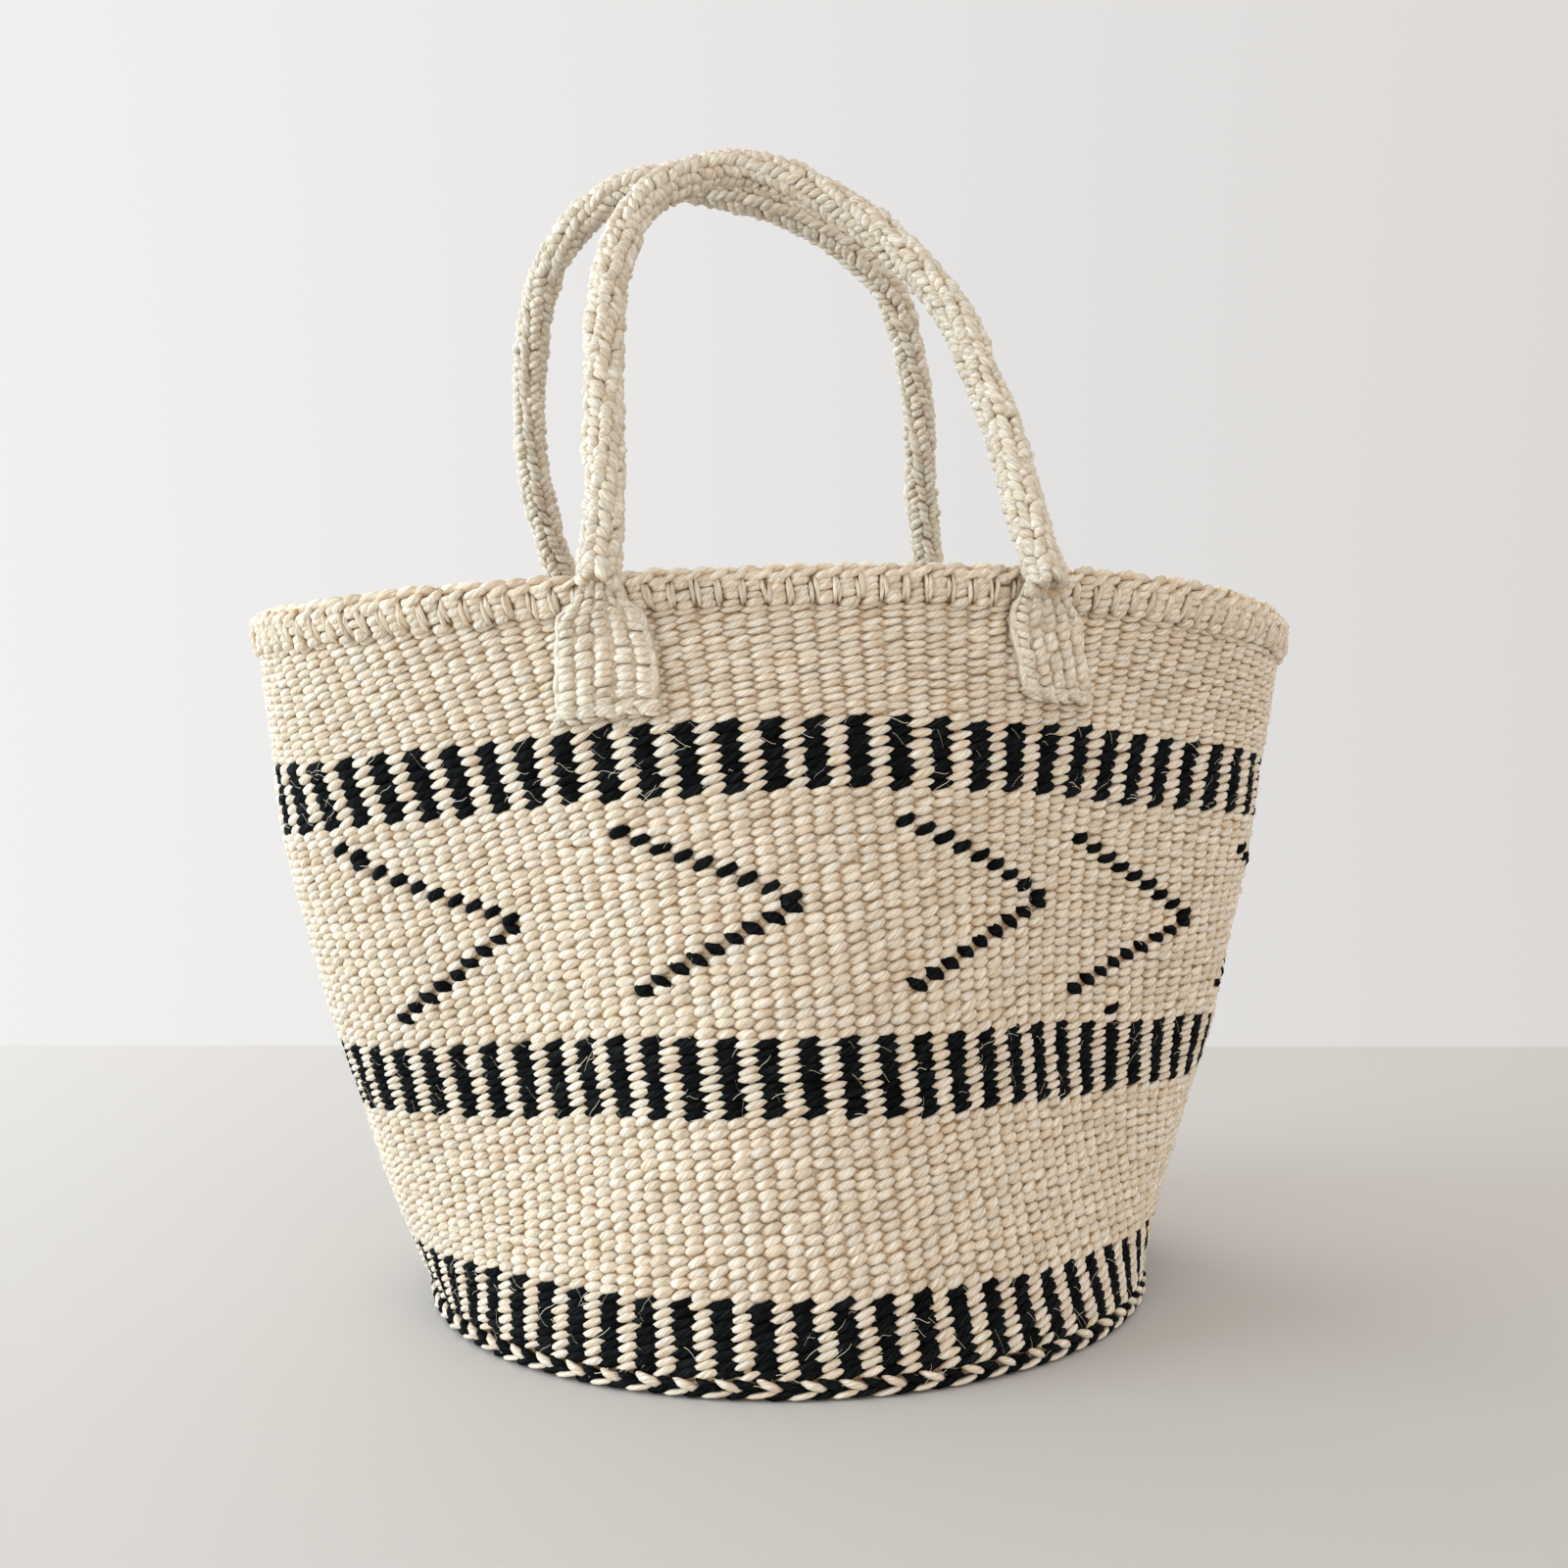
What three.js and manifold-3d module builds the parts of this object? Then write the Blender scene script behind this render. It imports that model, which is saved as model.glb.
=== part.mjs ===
// Sisal tote: a twined basket bag with two braided rope handles.
// Lengths are in millimetres. The origin is the middle of the base on the floor, +Z is up,
// X runs along the mouth and the front of the bag faces -Y.

import * as THREE from 'three';
import { mergeVertices } from 'three/addons/utils/BufferGeometryUtils.js';
import Module from 'manifold-3d';

const wasm = await Module();
wasm.setup();

// Clearance kept between pieces that touch
const seatGap = 0.3;

// Outside of the woven body at the base, at half height and at the rim
const baseRadius = 123.5;
const middleHalfWidth = 162.5;
const middleHalfDepth = 99.5;
const rimHalfWidth = 180;
const rimHalfDepth = 98;
const wallThickness = 4.5;

// How far the four corners of the oval are drawn in
const middlePinchShare = 0.086;
const rimPinchShare = -0.018;

// The rows of weaving rise and fall round the bag: saddle between ends and faces,
// tilt from left to right, and skew from corner to corner
const middleSaddle = 6.4;
const rimSaddle = 5.4;
const middleTilt = 1.8;
const rimTilt = -4.8;
const middleSkew = 0.8;
const rimSkew = -4.5;

// Base
const baseThickness = 4.5;
const baseChamfer = 1.2;
const edgePlaitWidth = 7;
const edgePlaitProud = 1.5;
const edgePlaitRound = 1.6;
const edgePlaitLift = 0.8;
const edgePlaitTop = 6;

// Heights of the woven zones, from the base upwards
const lowerBandHeight = 19;
const lowerPlainHeight = 47.4;
const middleBandHeight = 22.1;
const chevronHeight = 71.9;
const upperBandHeight = 21.3;
const upperPlainHeight = 35.3;
const zoneStep = 16;

// Rim: a core of gathered warp ends, the binding wrapped over it and the plait on top
const rimCoreHeight = 5.7;
const bindingSlack = 0.6;
const bindingThickness = 1.6;
const bindingOverlap = 2.2;
const bindingRound = 1.4;
const borderPlaitHeight = 3.8;
const borderPlaitRound = 1.4;
const borderPlaitProud = 1.9;

// Handles: a braided sleeve over a rope core that ends in a knot at each tab
const handleRadius = 6.1;
const handleCoreRadius = 3.6;
const knotRadius = 6.1;
const handleTilt = THREE.MathUtils.degToRad(29.5);
const hingeReach = 5;
const hingeRise = 5;
const frontLeftPivot = 64;
const frontRightPivot = 67;
const frontHandleRise = 164;
const rearLeftPivot = 73;
const rearRightPivot = 73;
const rearHandleRise = 173;

// Centre lines of the handles: shares of the pivot distance on that side, and of the rise
const frontHandleShares = [
  [-1, 0], [-0.973, 0.21], [-0.969, 0.46], [-0.914, 0.71], [-0.72, 0.905], [-0.33, 1],
  [0.075, 0.96], [0.463, 0.82], [0.746, 0.63], [0.896, 0.37], [0.955, 0.165], [1, 0],
];
const rearHandleShares = [
  [-1, 0], [-1.123, 0.175], [-1.212, 0.38], [-1.212, 0.63], [-1.068, 0.85], [-0.726, 0.985],
  [-0.205, 0.985], [0.274, 0.915], [0.644, 0.785], [0.822, 0.57], [0.904, 0.335],
  [0.973, 0.145], [1, 0],
];

// Tabs: the flattened handle ends, ribbed, with a row of fat loops along the bottom.
// A shift is how far the lower edge is sewn to the right of the upper one.
const leftTabDrop = 39.5;
const leftTabTopWidth = 22;
const leftTabBottomWidth = 31.5;
const leftTabShift = 2;
const rightTabDrop = 35.2;
const rightTabTopWidth = 18;
const rightTabBottomWidth = 24;
const rightTabShift = 9;
const tabThickness = 4.6;
const ribDepth = 1;
const tabRibs = 5;
const tabRimMargin = 2;
const neckHalfWidth = 8;
const neckHalfDepth = 7.6;
const neckDrop = 2;
const loopRowHeight = 5;
const loopRowThickness = 5.4;

// Working range of a handle, measured from upright: positive is away from the bag
const outwardReach = THREE.MathUtils.degToRad(120.5);

// Facets
const ringSides = 48;
const handleSides = 8;
const handleSteps = 28;
const knotSides = 12;
const knotRings = 8;
const cutterSize = 60;
const probeAngle = 0.001;

// Levels worked out from the zones
const lowerBandTop = edgePlaitTop + lowerBandHeight;
const lowerPlainTop = lowerBandTop + lowerPlainHeight;
const middleBandTop = lowerPlainTop + middleBandHeight;
const chevronTop = middleBandTop + chevronHeight;
const upperBandTop = chevronTop + upperBandHeight;
const wallTop = upperBandTop + upperPlainHeight;
const coreTop = wallTop + seatGap + rimCoreHeight;
const bindingTop = coreTop + seatGap + bindingThickness;
const rimTop = bindingTop + seatGap + borderPlaitHeight;
const bindingProud = bindingSlack + bindingThickness;
const bindingBottom = wallTop - bindingOverlap;

const materials = {
  natural: new THREE.MeshStandardMaterial({ color: 0xd9cbae, roughness: 0.82, metalness: 0 }),
  pale: new THREE.MeshStandardMaterial({ color: 0xe4dac4, roughness: 0.8, metalness: 0 }),
  black: new THREE.MeshStandardMaterial({ color: 0x1c1a18, roughness: 0.7, metalness: 0 }),
};

const tote = new THREE.Group();

function addPiece(parent, name, geometry, material) {
  const piece = new THREE.Mesh(geometry, material);
  piece.name = name;
  parent.add(piece);
}

// Solids

function toSolid(geometry) {
  const bare = geometry.clone();
  bare.deleteAttribute('normal');
  bare.deleteAttribute('uv');
  const merged = mergeVertices(bare);
  return new wasm.Manifold(new wasm.Mesh({
    numProp: 3,
    vertProperties: new Float32Array(merged.attributes.position.array),
    triVerts: new Uint32Array(merged.index.array),
  }));
}

function toGeometry(solid) {
  const mesh = solid.getMesh();
  return closedGeometry(Array.from(mesh.vertProperties), Array.from(mesh.triVerts));
}

function closedGeometry(positions, indices) {
  const geometry = new THREE.BufferGeometry();
  geometry.setAttribute('position', new THREE.Float32BufferAttribute(positions, 3));
  geometry.setIndex(indices);
  geometry.computeVertexNormals();
  return geometry;
}

// Shape of the wall

// Smooth value through the ones at the base, at half height and at the rim
function throughThree(base, middle, rim, share) {
  const basePart = base * (share - 0.5) * (share - 1) * 2;
  const middlePart = middle * share * (1 - share) * 4;
  const rimPart = rim * share * (share - 0.5) * 2;
  return basePart + middlePart + rimPart;
}

function wallOutline(height, angle) {
  const share = Math.max(0, (height - edgePlaitTop) / (rimTop - edgePlaitTop));
  const halfWidth = throughThree(baseRadius, middleHalfWidth, rimHalfWidth, share);
  const halfDepth = throughThree(baseRadius, middleHalfDepth, rimHalfDepth, share);
  const pinchShare = throughThree(0, middlePinchShare, rimPinchShare, share);
  const drawIn = 1 + pinchShare * (Math.cos(4 * angle) - 1);
  const saddle = throughThree(0, middleSaddle, rimSaddle, share) * Math.cos(2 * angle);
  const tilt = throughThree(0, middleTilt, rimTilt, share) * Math.cos(angle);
  const skew = throughThree(0, middleSkew, rimSkew, share) * Math.sin(2 * angle);
  return new THREE.Vector3(
    halfWidth * drawIn * Math.cos(angle),
    halfDepth * drawIn * Math.sin(angle),
    height - saddle + tilt + skew,
  );
}

// Step along the outline for each radian of angle
function outlineRun(height, angle) {
  const run = wallOutline(height, angle + probeAngle).sub(wallOutline(height, angle - probeAngle));
  return run.setZ(0).divideScalar(2 * probeAngle);
}

// Point at a height and angle, set in from the outside of the wall
function wallPoint(height, angle, inset) {
  const along = outlineRun(height, angle).normalize();
  const point = wallOutline(height, angle);
  point.x -= along.y * inset;
  point.y += along.x * inset;
  return point;
}

// Angle at which the wall has the wanted x, on the front (-1) or the rear (1)
function angleAtX(height, x, face) {
  let angle = face * Math.PI / 2;
  for (let round = 0; round < 8; round += 1) {
    const miss = wallOutline(height, angle).x - x;
    angle -= miss / outlineRun(height, angle).x;
  }
  return angle;
}

// Closed ring: the section's [height, inset] corners are carried round the wall,
// outer side upwards first and inner side downwards after it
function wallRing(section) {
  const positions = [];
  const indices = [];
  const corners = section.length;
  for (let side = 0; side < ringSides; side += 1) {
    const angle = (side / ringSides) * Math.PI * 2;
    const nextSide = (side + 1) % ringSides;
    section.forEach(([height, inset], corner) => {
      const nextCorner = (corner + 1) % corners;
      const here = side * corners + corner;
      const above = side * corners + nextCorner;
      const beside = nextSide * corners + corner;
      const across = nextSide * corners + nextCorner;
      positions.push(...wallPoint(height, angle, inset).toArray());
      indices.push(here, beside, across, here, across, above);
    });
  }
  return closedGeometry(positions, indices);
}

function wovenZone(bottom, top) {
  const steps = Math.max(1, Math.round((top - bottom) / zoneStep));
  const outer = [];
  for (let step = 0; step <= steps; step += 1) {
    outer.push([bottom + (top - bottom) * (step / steps), 0]);
  }
  const inner = outer.map(([height]) => [height, wallThickness]).reverse();
  return wallRing([...outer, ...inner]);
}

// Base

function baseDisc() {
  const radius = baseRadius + edgePlaitProud - edgePlaitWidth - seatGap;
  const profile = [
    new THREE.Vector2(0, 0),
    new THREE.Vector2(radius - baseChamfer, 0),
    new THREE.Vector2(radius, baseChamfer),
    new THREE.Vector2(radius, baseThickness),
    new THREE.Vector2(0, baseThickness),
  ];
  return new THREE.LatheGeometry(profile, ringSides).rotateX(Math.PI / 2);
}

function baseEdgePlait() {
  const outerInset = -edgePlaitProud;
  const innerInset = edgePlaitWidth - edgePlaitProud;
  const top = edgePlaitTop - seatGap;
  return wallRing([
    [edgePlaitLift, outerInset + edgePlaitRound],
    [edgePlaitLift + edgePlaitRound, outerInset],
    [top - edgePlaitRound, outerInset],
    [top, outerInset + edgePlaitRound],
    [top, innerInset],
    [edgePlaitLift, innerInset],
  ]);
}

// Rim

function rimCore() {
  return wallRing([
    [wallTop + seatGap, 0],
    [coreTop, 0],
    [coreTop, wallThickness],
    [wallTop + seatGap, wallThickness],
  ]);
}

function rimBinding() {
  const outside = -bindingProud;
  const inside = wallThickness + bindingProud;
  return wallRing([
    [bindingBottom, outside],
    [bindingTop - bindingRound, outside],
    [bindingTop, outside + bindingRound],
    [bindingTop, inside - bindingRound],
    [bindingTop - bindingRound, inside],
    [bindingBottom, inside],
    [bindingBottom, wallThickness + bindingSlack],
    [coreTop + seatGap, wallThickness + bindingSlack],
    [coreTop + seatGap, -bindingSlack],
    [bindingBottom, -bindingSlack],
  ]);
}

function rimBorderPlait() {
  const outside = -borderPlaitProud;
  const inside = wallThickness + borderPlaitProud;
  const bottom = bindingTop + seatGap;
  return wallRing([
    [bottom, outside + borderPlaitRound],
    [bottom + borderPlaitRound, outside],
    [rimTop - borderPlaitRound, outside],
    [rimTop, outside + borderPlaitRound],
    [rimTop, inside - borderPlaitRound],
    [rimTop - borderPlaitRound, inside],
    [bottom + borderPlaitRound, inside],
    [bottom, inside - borderPlaitRound],
  ]);
}

// Handles, drawn upright in the XZ plane with the hinge line along X

function handlePath(shares, leftPivot, rightPivot, rise) {
  const points = shares.map(([xShare, riseShare]) => {
    const reach = xShare < 0 ? leftPivot : rightPivot;
    return new THREE.Vector3(xShare * reach, 0, riseShare * rise);
  });
  return new THREE.CatmullRomCurve3(points, false, 'centripetal');
}

// The middle of a path, with a number of its even steps left off at each end
class PathMiddle extends THREE.Curve {
  constructor(path, leftOffShare) {
    super();
    this.path = path;
    this.leftOffShare = leftOffShare;
  }

  getPoint(share) {
    return this.path.getPointAt(THREE.MathUtils.lerp(this.leftOffShare, 1 - this.leftOffShare, share));
  }
}

function roundOutline(radius) {
  const corners = [];
  for (let corner = 0; corner < handleSides; corner += 1) {
    const angle = (corner / handleSides) * Math.PI * 2;
    corners.push(new THREE.Vector2(radius * Math.cos(angle), radius * Math.sin(angle)));
  }
  return corners;
}

function sweptTube(path, steps, outerRadius, boreRadius) {
  const section = new THREE.Shape(roundOutline(outerRadius));
  if (boreRadius > 0) section.holes.push(new THREE.Path(roundOutline(boreRadius)));
  return new THREE.ExtrudeGeometry(section, { steps, bevelEnabled: false, extrudePath: path });
}

function knotAt(point, radius) {
  return new THREE.SphereGeometry(radius, knotSides, knotRings).translate(point.x, point.y, point.z);
}

function handleCore(path) {
  const rope = toSolid(sweptTube(path, handleSteps, handleCoreRadius, 0));
  const ends = [path.getPointAt(0), path.getPointAt(1)];
  const solid = ends.reduce((joined, end) => joined.add(toSolid(knotAt(end, knotRadius))), rope);
  return toGeometry(solid);
}

function handleSleeve(path) {
  const middle = new PathMiddle(path, 1 / handleSteps);
  return sweptTube(middle, handleSteps - 2, handleRadius, handleCoreRadius + seatGap);
}

function hingeLine(face) {
  return { y: face * (rimHalfDepth + hingeReach), z: rimTop + hingeRise };
}

// A handle leans in over the mouth, about its hinge line
function addHandle(name, face, shares, leftPivot, rightPivot, rise) {
  const path = handlePath(shares, leftPivot, rightPivot, rise);
  const handle = new THREE.Group();
  const hinge = hingeLine(face);
  handle.position.set(0, hinge.y, hinge.z);
  handle.rotation.x = face * handleTilt;
  addPiece(handle, `${name}_handle_core`, handleCore(path), materials.natural);
  addPiece(handle, `${name}_handle_sleeve`, handleSleeve(path), materials.pale);
  tote.add(handle);
}

// Tabs

// Closed solid through a stack of sections, each a loop of points seen counter-clockwise from above
function loftedStack(sections) {
  const corners = sections[0].length;
  const positions = sections.flat().flatMap((point) => point.toArray());
  const indices = [];
  for (let level = 0; level < sections.length - 1; level += 1) {
    for (let corner = 0; corner < corners; corner += 1) {
      const nextCorner = (corner + 1) % corners;
      const here = level * corners + corner;
      const beside = level * corners + nextCorner;
      indices.push(here, beside, beside + corners, here, beside + corners, here + corners);
    }
  }
  const addLid = (level, upwards) => {
    const middle = new THREE.Vector3();
    sections[level].forEach((point) => middle.addScaledVector(point, 1 / corners));
    const middleIndex = positions.length / 3;
    positions.push(...middle.toArray());
    for (let corner = 0; corner < corners; corner += 1) {
      const here = level * corners + corner;
      const beside = level * corners + ((corner + 1) % corners);
      indices.push(middleIndex, upwards ? here : beside, upwards ? beside : here);
    }
  };
  addLid(0, false);
  addLid(sections.length - 1, true);
  return closedGeometry(positions, indices);
}

// Section that lies on the wall at a height, ribbed on its outer side
function ribbedSection(face, x, height, width, standOff, thickness) {
  const centre = angleAtX(height, x, face);
  const halfAngle = width / 2 / outlineRun(height, centre).length();
  const points = tabRibs * 2;
  const outer = [];
  const inner = [];
  for (let point = 0; point <= points; point += 1) {
    const angle = centre + halfAngle * (point / points * 2 - 1);
    const groove = point % 2 === 0 ? ribDepth : 0;
    outer.push(wallPoint(height, angle, groove - standOff - thickness));
    inner.push(wallPoint(height, angle, -standOff));
  }
  return [...outer, ...inner.reverse()];
}

// Square section round the pivot, with as many points as a ribbed one
function neckSection(face, pivot, height) {
  const points = tabRibs * 2;
  const outer = [];
  const inner = [];
  for (let point = 0; point <= points; point += 1) {
    const across = -face * neckHalfWidth * (point / points * 2 - 1);
    outer.push(new THREE.Vector3(pivot.x + across, pivot.y + face * neckHalfDepth, height));
    inner.push(new THREE.Vector3(pivot.x + across, pivot.y - face * neckHalfDepth, height));
  }
  return [...outer, ...inner.reverse()];
}

// Block round the pivot, from one corner to the other in steps along X, away from the bag and up,
// turned away from upright by an angle
function pivotBlock(face, pivot, low, high, turn) {
  const size = new THREE.Vector3().subVectors(high, low);
  const middle = new THREE.Vector3().addVectors(low, high).multiplyScalar(0.5);
  return toSolid(new THREE.BoxGeometry(size.x, size.y, size.z)
    .translate(middle.x, face * middle.y, middle.z)
    .rotateX(-face * turn)
    .translate(pivot.x, pivot.y, pivot.z));
}

// Everything that the knot and the swinging handle need free, down to the outward limit
function handleSweep(face, pivot) {
  const far = cutterSize;
  const alongStart = handleRadius;
  const roomAbove = pivotBlock(face, pivot,
    new THREE.Vector3(-far, -far, -neckDrop), new THREE.Vector3(far, far, far), 0);
  const roomForCore = pivotBlock(face, pivot,
    new THREE.Vector3(-far, -far, 0),
    new THREE.Vector3(far, handleCoreRadius + seatGap, far), outwardReach);
  const roomForSleeve = pivotBlock(face, pivot,
    new THREE.Vector3(-far, -far, alongStart),
    new THREE.Vector3(far, handleRadius + seatGap, far), outwardReach);
  const seat = toSolid(knotAt(pivot, knotRadius + seatGap));
  return roomAbove.add(roomForCore).add(roomForSleeve).add(seat);
}

function handleTab(face, pivot, drop, topWidth, bottomWidth, shift) {
  const bottom = rimTop - drop;
  const underRim = bindingBottom - tabRimMargin;
  const overRim = rimTop - tabRimMargin;
  const onWall = seatGap;
  const onRim = bindingProud + seatGap;
  const level = (height, standOff) => {
    const width = THREE.MathUtils.mapLinear(height, bottom, overRim, bottomWidth, topWidth);
    const centre = THREE.MathUtils.mapLinear(height, bottom, overRim, pivot.x + shift, pivot.x);
    return ribbedSection(face, centre, height, width, standOff, tabThickness);
  };
  const middle = (bottom + underRim) / 2;
  const plate = loftedStack([
    level(bottom, onWall),
    level(middle, onWall),
    level(underRim, onWall),
    level(bindingBottom - seatGap, onRim),
    level(overRim, onRim),
    neckSection(face, pivot, pivot.z),
  ]);
  return toGeometry(toSolid(plate).subtract(handleSweep(face, pivot)));
}

function tabEndLoops(face, centre, drop, bottomWidth) {
  const top = rimTop - drop - seatGap;
  const bottom = top - loopRowHeight;
  const level = (height, thickness) => (
    ribbedSection(face, centre, height, bottomWidth, seatGap, thickness)
  );
  return loftedStack([
    level(bottom, tabThickness - ribDepth),
    level((bottom + top) / 2, loopRowThickness),
    level(top, tabThickness),
  ]);
}

function addTab(name, face, x, drop, topWidth, bottomWidth, shift) {
  const hinge = hingeLine(face);
  const pivot = new THREE.Vector3(x, hinge.y, hinge.z);
  const tab = handleTab(face, pivot, drop, topWidth, bottomWidth, shift);
  const endLoops = tabEndLoops(face, x + shift, drop, bottomWidth);
  addPiece(tote, `${name}_tab`, tab, materials.pale);
  addPiece(tote, `${name}_tab_end_loops`, endLoops, materials.pale);
}

function addLeftTab(name, face, x) {
  addTab(name, face, x, leftTabDrop, leftTabTopWidth, leftTabBottomWidth, leftTabShift);
}

function addRightTab(name, face, x) {
  addTab(name, face, x, rightTabDrop, rightTabTopWidth, rightTabBottomWidth, rightTabShift);
}

// The whole bag

function addZone(name, bottom, top, material) {
  addPiece(tote, name, wovenZone(bottom, top - seatGap), material);
}

addPiece(tote, 'base_disc', baseDisc(), materials.natural);
addPiece(tote, 'base_edge_plait', baseEdgePlait(), materials.black);
addZone('lower_stripe_band', edgePlaitTop, lowerBandTop, materials.black);
addZone('lower_plain_wall', lowerBandTop, lowerPlainTop, materials.natural);
addZone('middle_stripe_band', lowerPlainTop, middleBandTop, materials.black);
addZone('chevron_wall', middleBandTop, chevronTop, materials.natural);
addZone('upper_stripe_band', chevronTop, upperBandTop, materials.black);
addZone('upper_plain_wall', upperBandTop, wallTop + seatGap, materials.natural);
addPiece(tote, 'rim_core', rimCore(), materials.natural);
addPiece(tote, 'rim_binding', rimBinding(), materials.natural);
addPiece(tote, 'rim_border_plait', rimBorderPlait(), materials.natural);

addLeftTab('front_left', -1, -frontLeftPivot);
addRightTab('front_right', -1, frontRightPivot);
addLeftTab('rear_left', 1, -rearLeftPivot);
addRightTab('rear_right', 1, rearRightPivot);

addHandle('front', -1, frontHandleShares, frontLeftPivot, frontRightPivot, frontHandleRise);
addHandle('rear', 1, rearHandleShares, rearLeftPivot, rearRightPivot, rearHandleRise);

export default tote;
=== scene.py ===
import math

import bmesh
import bpy
import numpy as np
from mathutils import Matrix, Vector


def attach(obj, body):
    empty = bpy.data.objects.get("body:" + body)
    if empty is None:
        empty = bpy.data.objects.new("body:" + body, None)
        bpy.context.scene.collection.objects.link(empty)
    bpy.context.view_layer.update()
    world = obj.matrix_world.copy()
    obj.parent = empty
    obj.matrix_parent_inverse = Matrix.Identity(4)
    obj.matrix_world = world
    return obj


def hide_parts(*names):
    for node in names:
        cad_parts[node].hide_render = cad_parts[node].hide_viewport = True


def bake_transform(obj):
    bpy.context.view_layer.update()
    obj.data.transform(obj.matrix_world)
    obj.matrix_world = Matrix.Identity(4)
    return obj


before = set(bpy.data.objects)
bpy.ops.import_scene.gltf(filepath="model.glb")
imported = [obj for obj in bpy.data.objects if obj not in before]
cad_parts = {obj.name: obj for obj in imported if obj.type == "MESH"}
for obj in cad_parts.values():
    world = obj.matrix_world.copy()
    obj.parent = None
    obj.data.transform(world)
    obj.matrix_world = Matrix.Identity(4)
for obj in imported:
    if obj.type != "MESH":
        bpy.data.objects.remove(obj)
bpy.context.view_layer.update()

# Sisal tote. Shapes are worked out in millimetres and written to the meshes in metres.
MM = 0.001
YARN_MAP = "OFBake"
MAP_CELLS = (8, 16)
MAP_MARGIN = 0.03
RELIEF_DEPTH = 0.0004
chance = np.random.default_rng(20)

# Camera, from fitting the bag to the photograph. The stage, too, is measured in metres.
SENSOR_MM = 36.0
FOCAL_MM = 38.334
EYE_BACK = 0.593756
EYE_HEIGHT = 0.183325
EYE_ASIDE = 0.00039
LOOK_DOWN = math.radians(0.965)
LOOK_ROLL = math.radians(-0.6845)
BAG_TURN = math.radians(6.44)

TABLE_TURN = math.radians(4.3)
TABLE_HALF = (2.4, 1.1)
TABLE_FORWARD = -0.643
TABLE_COLOUR = (0.55, 0.53, 0.512, 1)

# Light: the room's glow, the wall behind on its bright and its dark side, and the lamps with
# place, aim, size, watts and colour
GLOW = 0.9
GLOW_COLOUR = (1.0, 0.965, 0.92, 1)
BACKDROP_BRIGHT = (0.885, 0.88, 0.87, 1)
BACKDROP_DARK = (0.72, 0.70, 0.685, 1)
BACKDROP_REACH = 0.42
LAMPS = {
    "window_back": ((-1.0, 1.05, 1.1), (-0.1, 0, 0.1), (1.6, 1.2), 10, (0.96, 0.98, 1.0)),
    "window_left": ((-1.6, -0.35, 0.45), (0, 0, 0.15), (1.0, 0.9), 27, (0.76, 0.90, 1.0)),
    "room_front": ((0.55, -1.7, 0.25), (0, 0, 0.15), (1.4, 0.45), 6, (1.0, 0.94, 0.85)),
}

# Woven body
BASE_RADIUS = 123.5
MIDDLE_HALF = (162.5, 99.5)
RIM_HALF = (180.0, 98.0)
WALL_THICK = 4.5
EDGE_TOP = 6.0
RIM_TOP = 235.0
WALL_TOP = 223.0
COLUMNS = 128

# At the foot, at half height and at the rim: how far the outline draws in at its diagonals,
# and how the rows rise and fall round the bag
PINCH = (0.0, 0.086, -0.018)
SADDLE = (0.0, 6.4, 5.4)
TILT = (0.0, 1.8, -4.8)
SKEW = (0.0, 0.8, -4.5)

# The hand-made wall is never quite even: size of each wave, waves round the bag, height over
# which it turns by one radian, and its start
UNEVEN = [(0.7, 3, 31, 0.0), (0.5, 7, -19, 1.3), (0.35, 13, 11, 0.4)]
WANDER = [(0.45, 5, 23, 0.0), (0.4, 11, -13, 2.0)]

# How far the columns drift round the bag at each height, as shares of a full turn
DRIFT_HEIGHTS = [0, 15.5, 83.5, 177, 240]
DRIFT_SHARES = [0.0225, 0.0203, 0.0106, 0, -0.0068]

# Grid that the wall is looked up in
GRID_STEP = 1.5
GRID_LOW = -3.0
GRID_HIGH = 243.0
PER_COLUMN = 8
FINE_STEPS = 4096

# Each zone: bottom, top, rows, and whether black stripes run through it
ZONES = {
    "lower_stripe_band": (6.0, 25.0, 8, True),
    "lower_plain_wall": (25.0, 72.4, 17, False),
    "middle_stripe_band": (72.4, 94.5, 9, True),
    "chevron_wall": (94.5, 166.4, 25, False),
    "upper_stripe_band": (166.4, 187.7, 7, True),
    "upper_plain_wall": (187.7, 223.0, 15, False),
}

# Chevrons: column of the tip, and the row of the upper arm's last stitch, counted from the top.
# Three black stitches stand alone, given by column and row.
CHEVRON_TIPS = [
    (-17, 12), (-2, 11), (12, 11), (23, 12), (36, 12),
    (48, 11), (60, 12), (73, 11), (84, 12), (95, 11),
]
CHEVRON_ARM = 9
STRAY_BLACKS = [(18, 23), (-26, 2), (-25, 3)]

# Handles: points of the centre line, as shares of the pivot's distance and of the rise, then
# for each handle its side, its points, the pivots left and right, and the rise
FRONT_SHARES = [
    (-1, 0), (-0.973, 0.21), (-0.969, 0.46), (-0.914, 0.71), (-0.72, 0.905), (-0.33, 1),
    (0.075, 0.96), (0.463, 0.82), (0.746, 0.63), (0.896, 0.37), (0.955, 0.165), (1, 0),
]
REAR_SHARES = [
    (-1, 0), (-1.123, 0.175), (-1.212, 0.38), (-1.212, 0.63), (-1.068, 0.85), (-0.726, 0.985),
    (-0.205, 0.985), (0.274, 0.915), (0.644, 0.785), (0.822, 0.57), (0.904, 0.335),
    (0.973, 0.145), (1, 0),
]
HANDLES = {
    "front": (-1, FRONT_SHARES, 64.0, 67.0, 164.0),
    "rear": (1, REAR_SHARES, 73.0, 73.0, 173.0),
}
HINGE_Y = 103.0
HINGE_Z = 240.0
HANDLE_RADIUS = 6.1
HANDLE_LEAN = math.radians(29.5)
HANDLE_ROOT = 10.0
PATH_STEPS = 24
BRAID_COLUMNS = 8
BRAID_PITCH = 3.3
BRAID_TURN = 330
BRAID_START = 1.5
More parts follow.
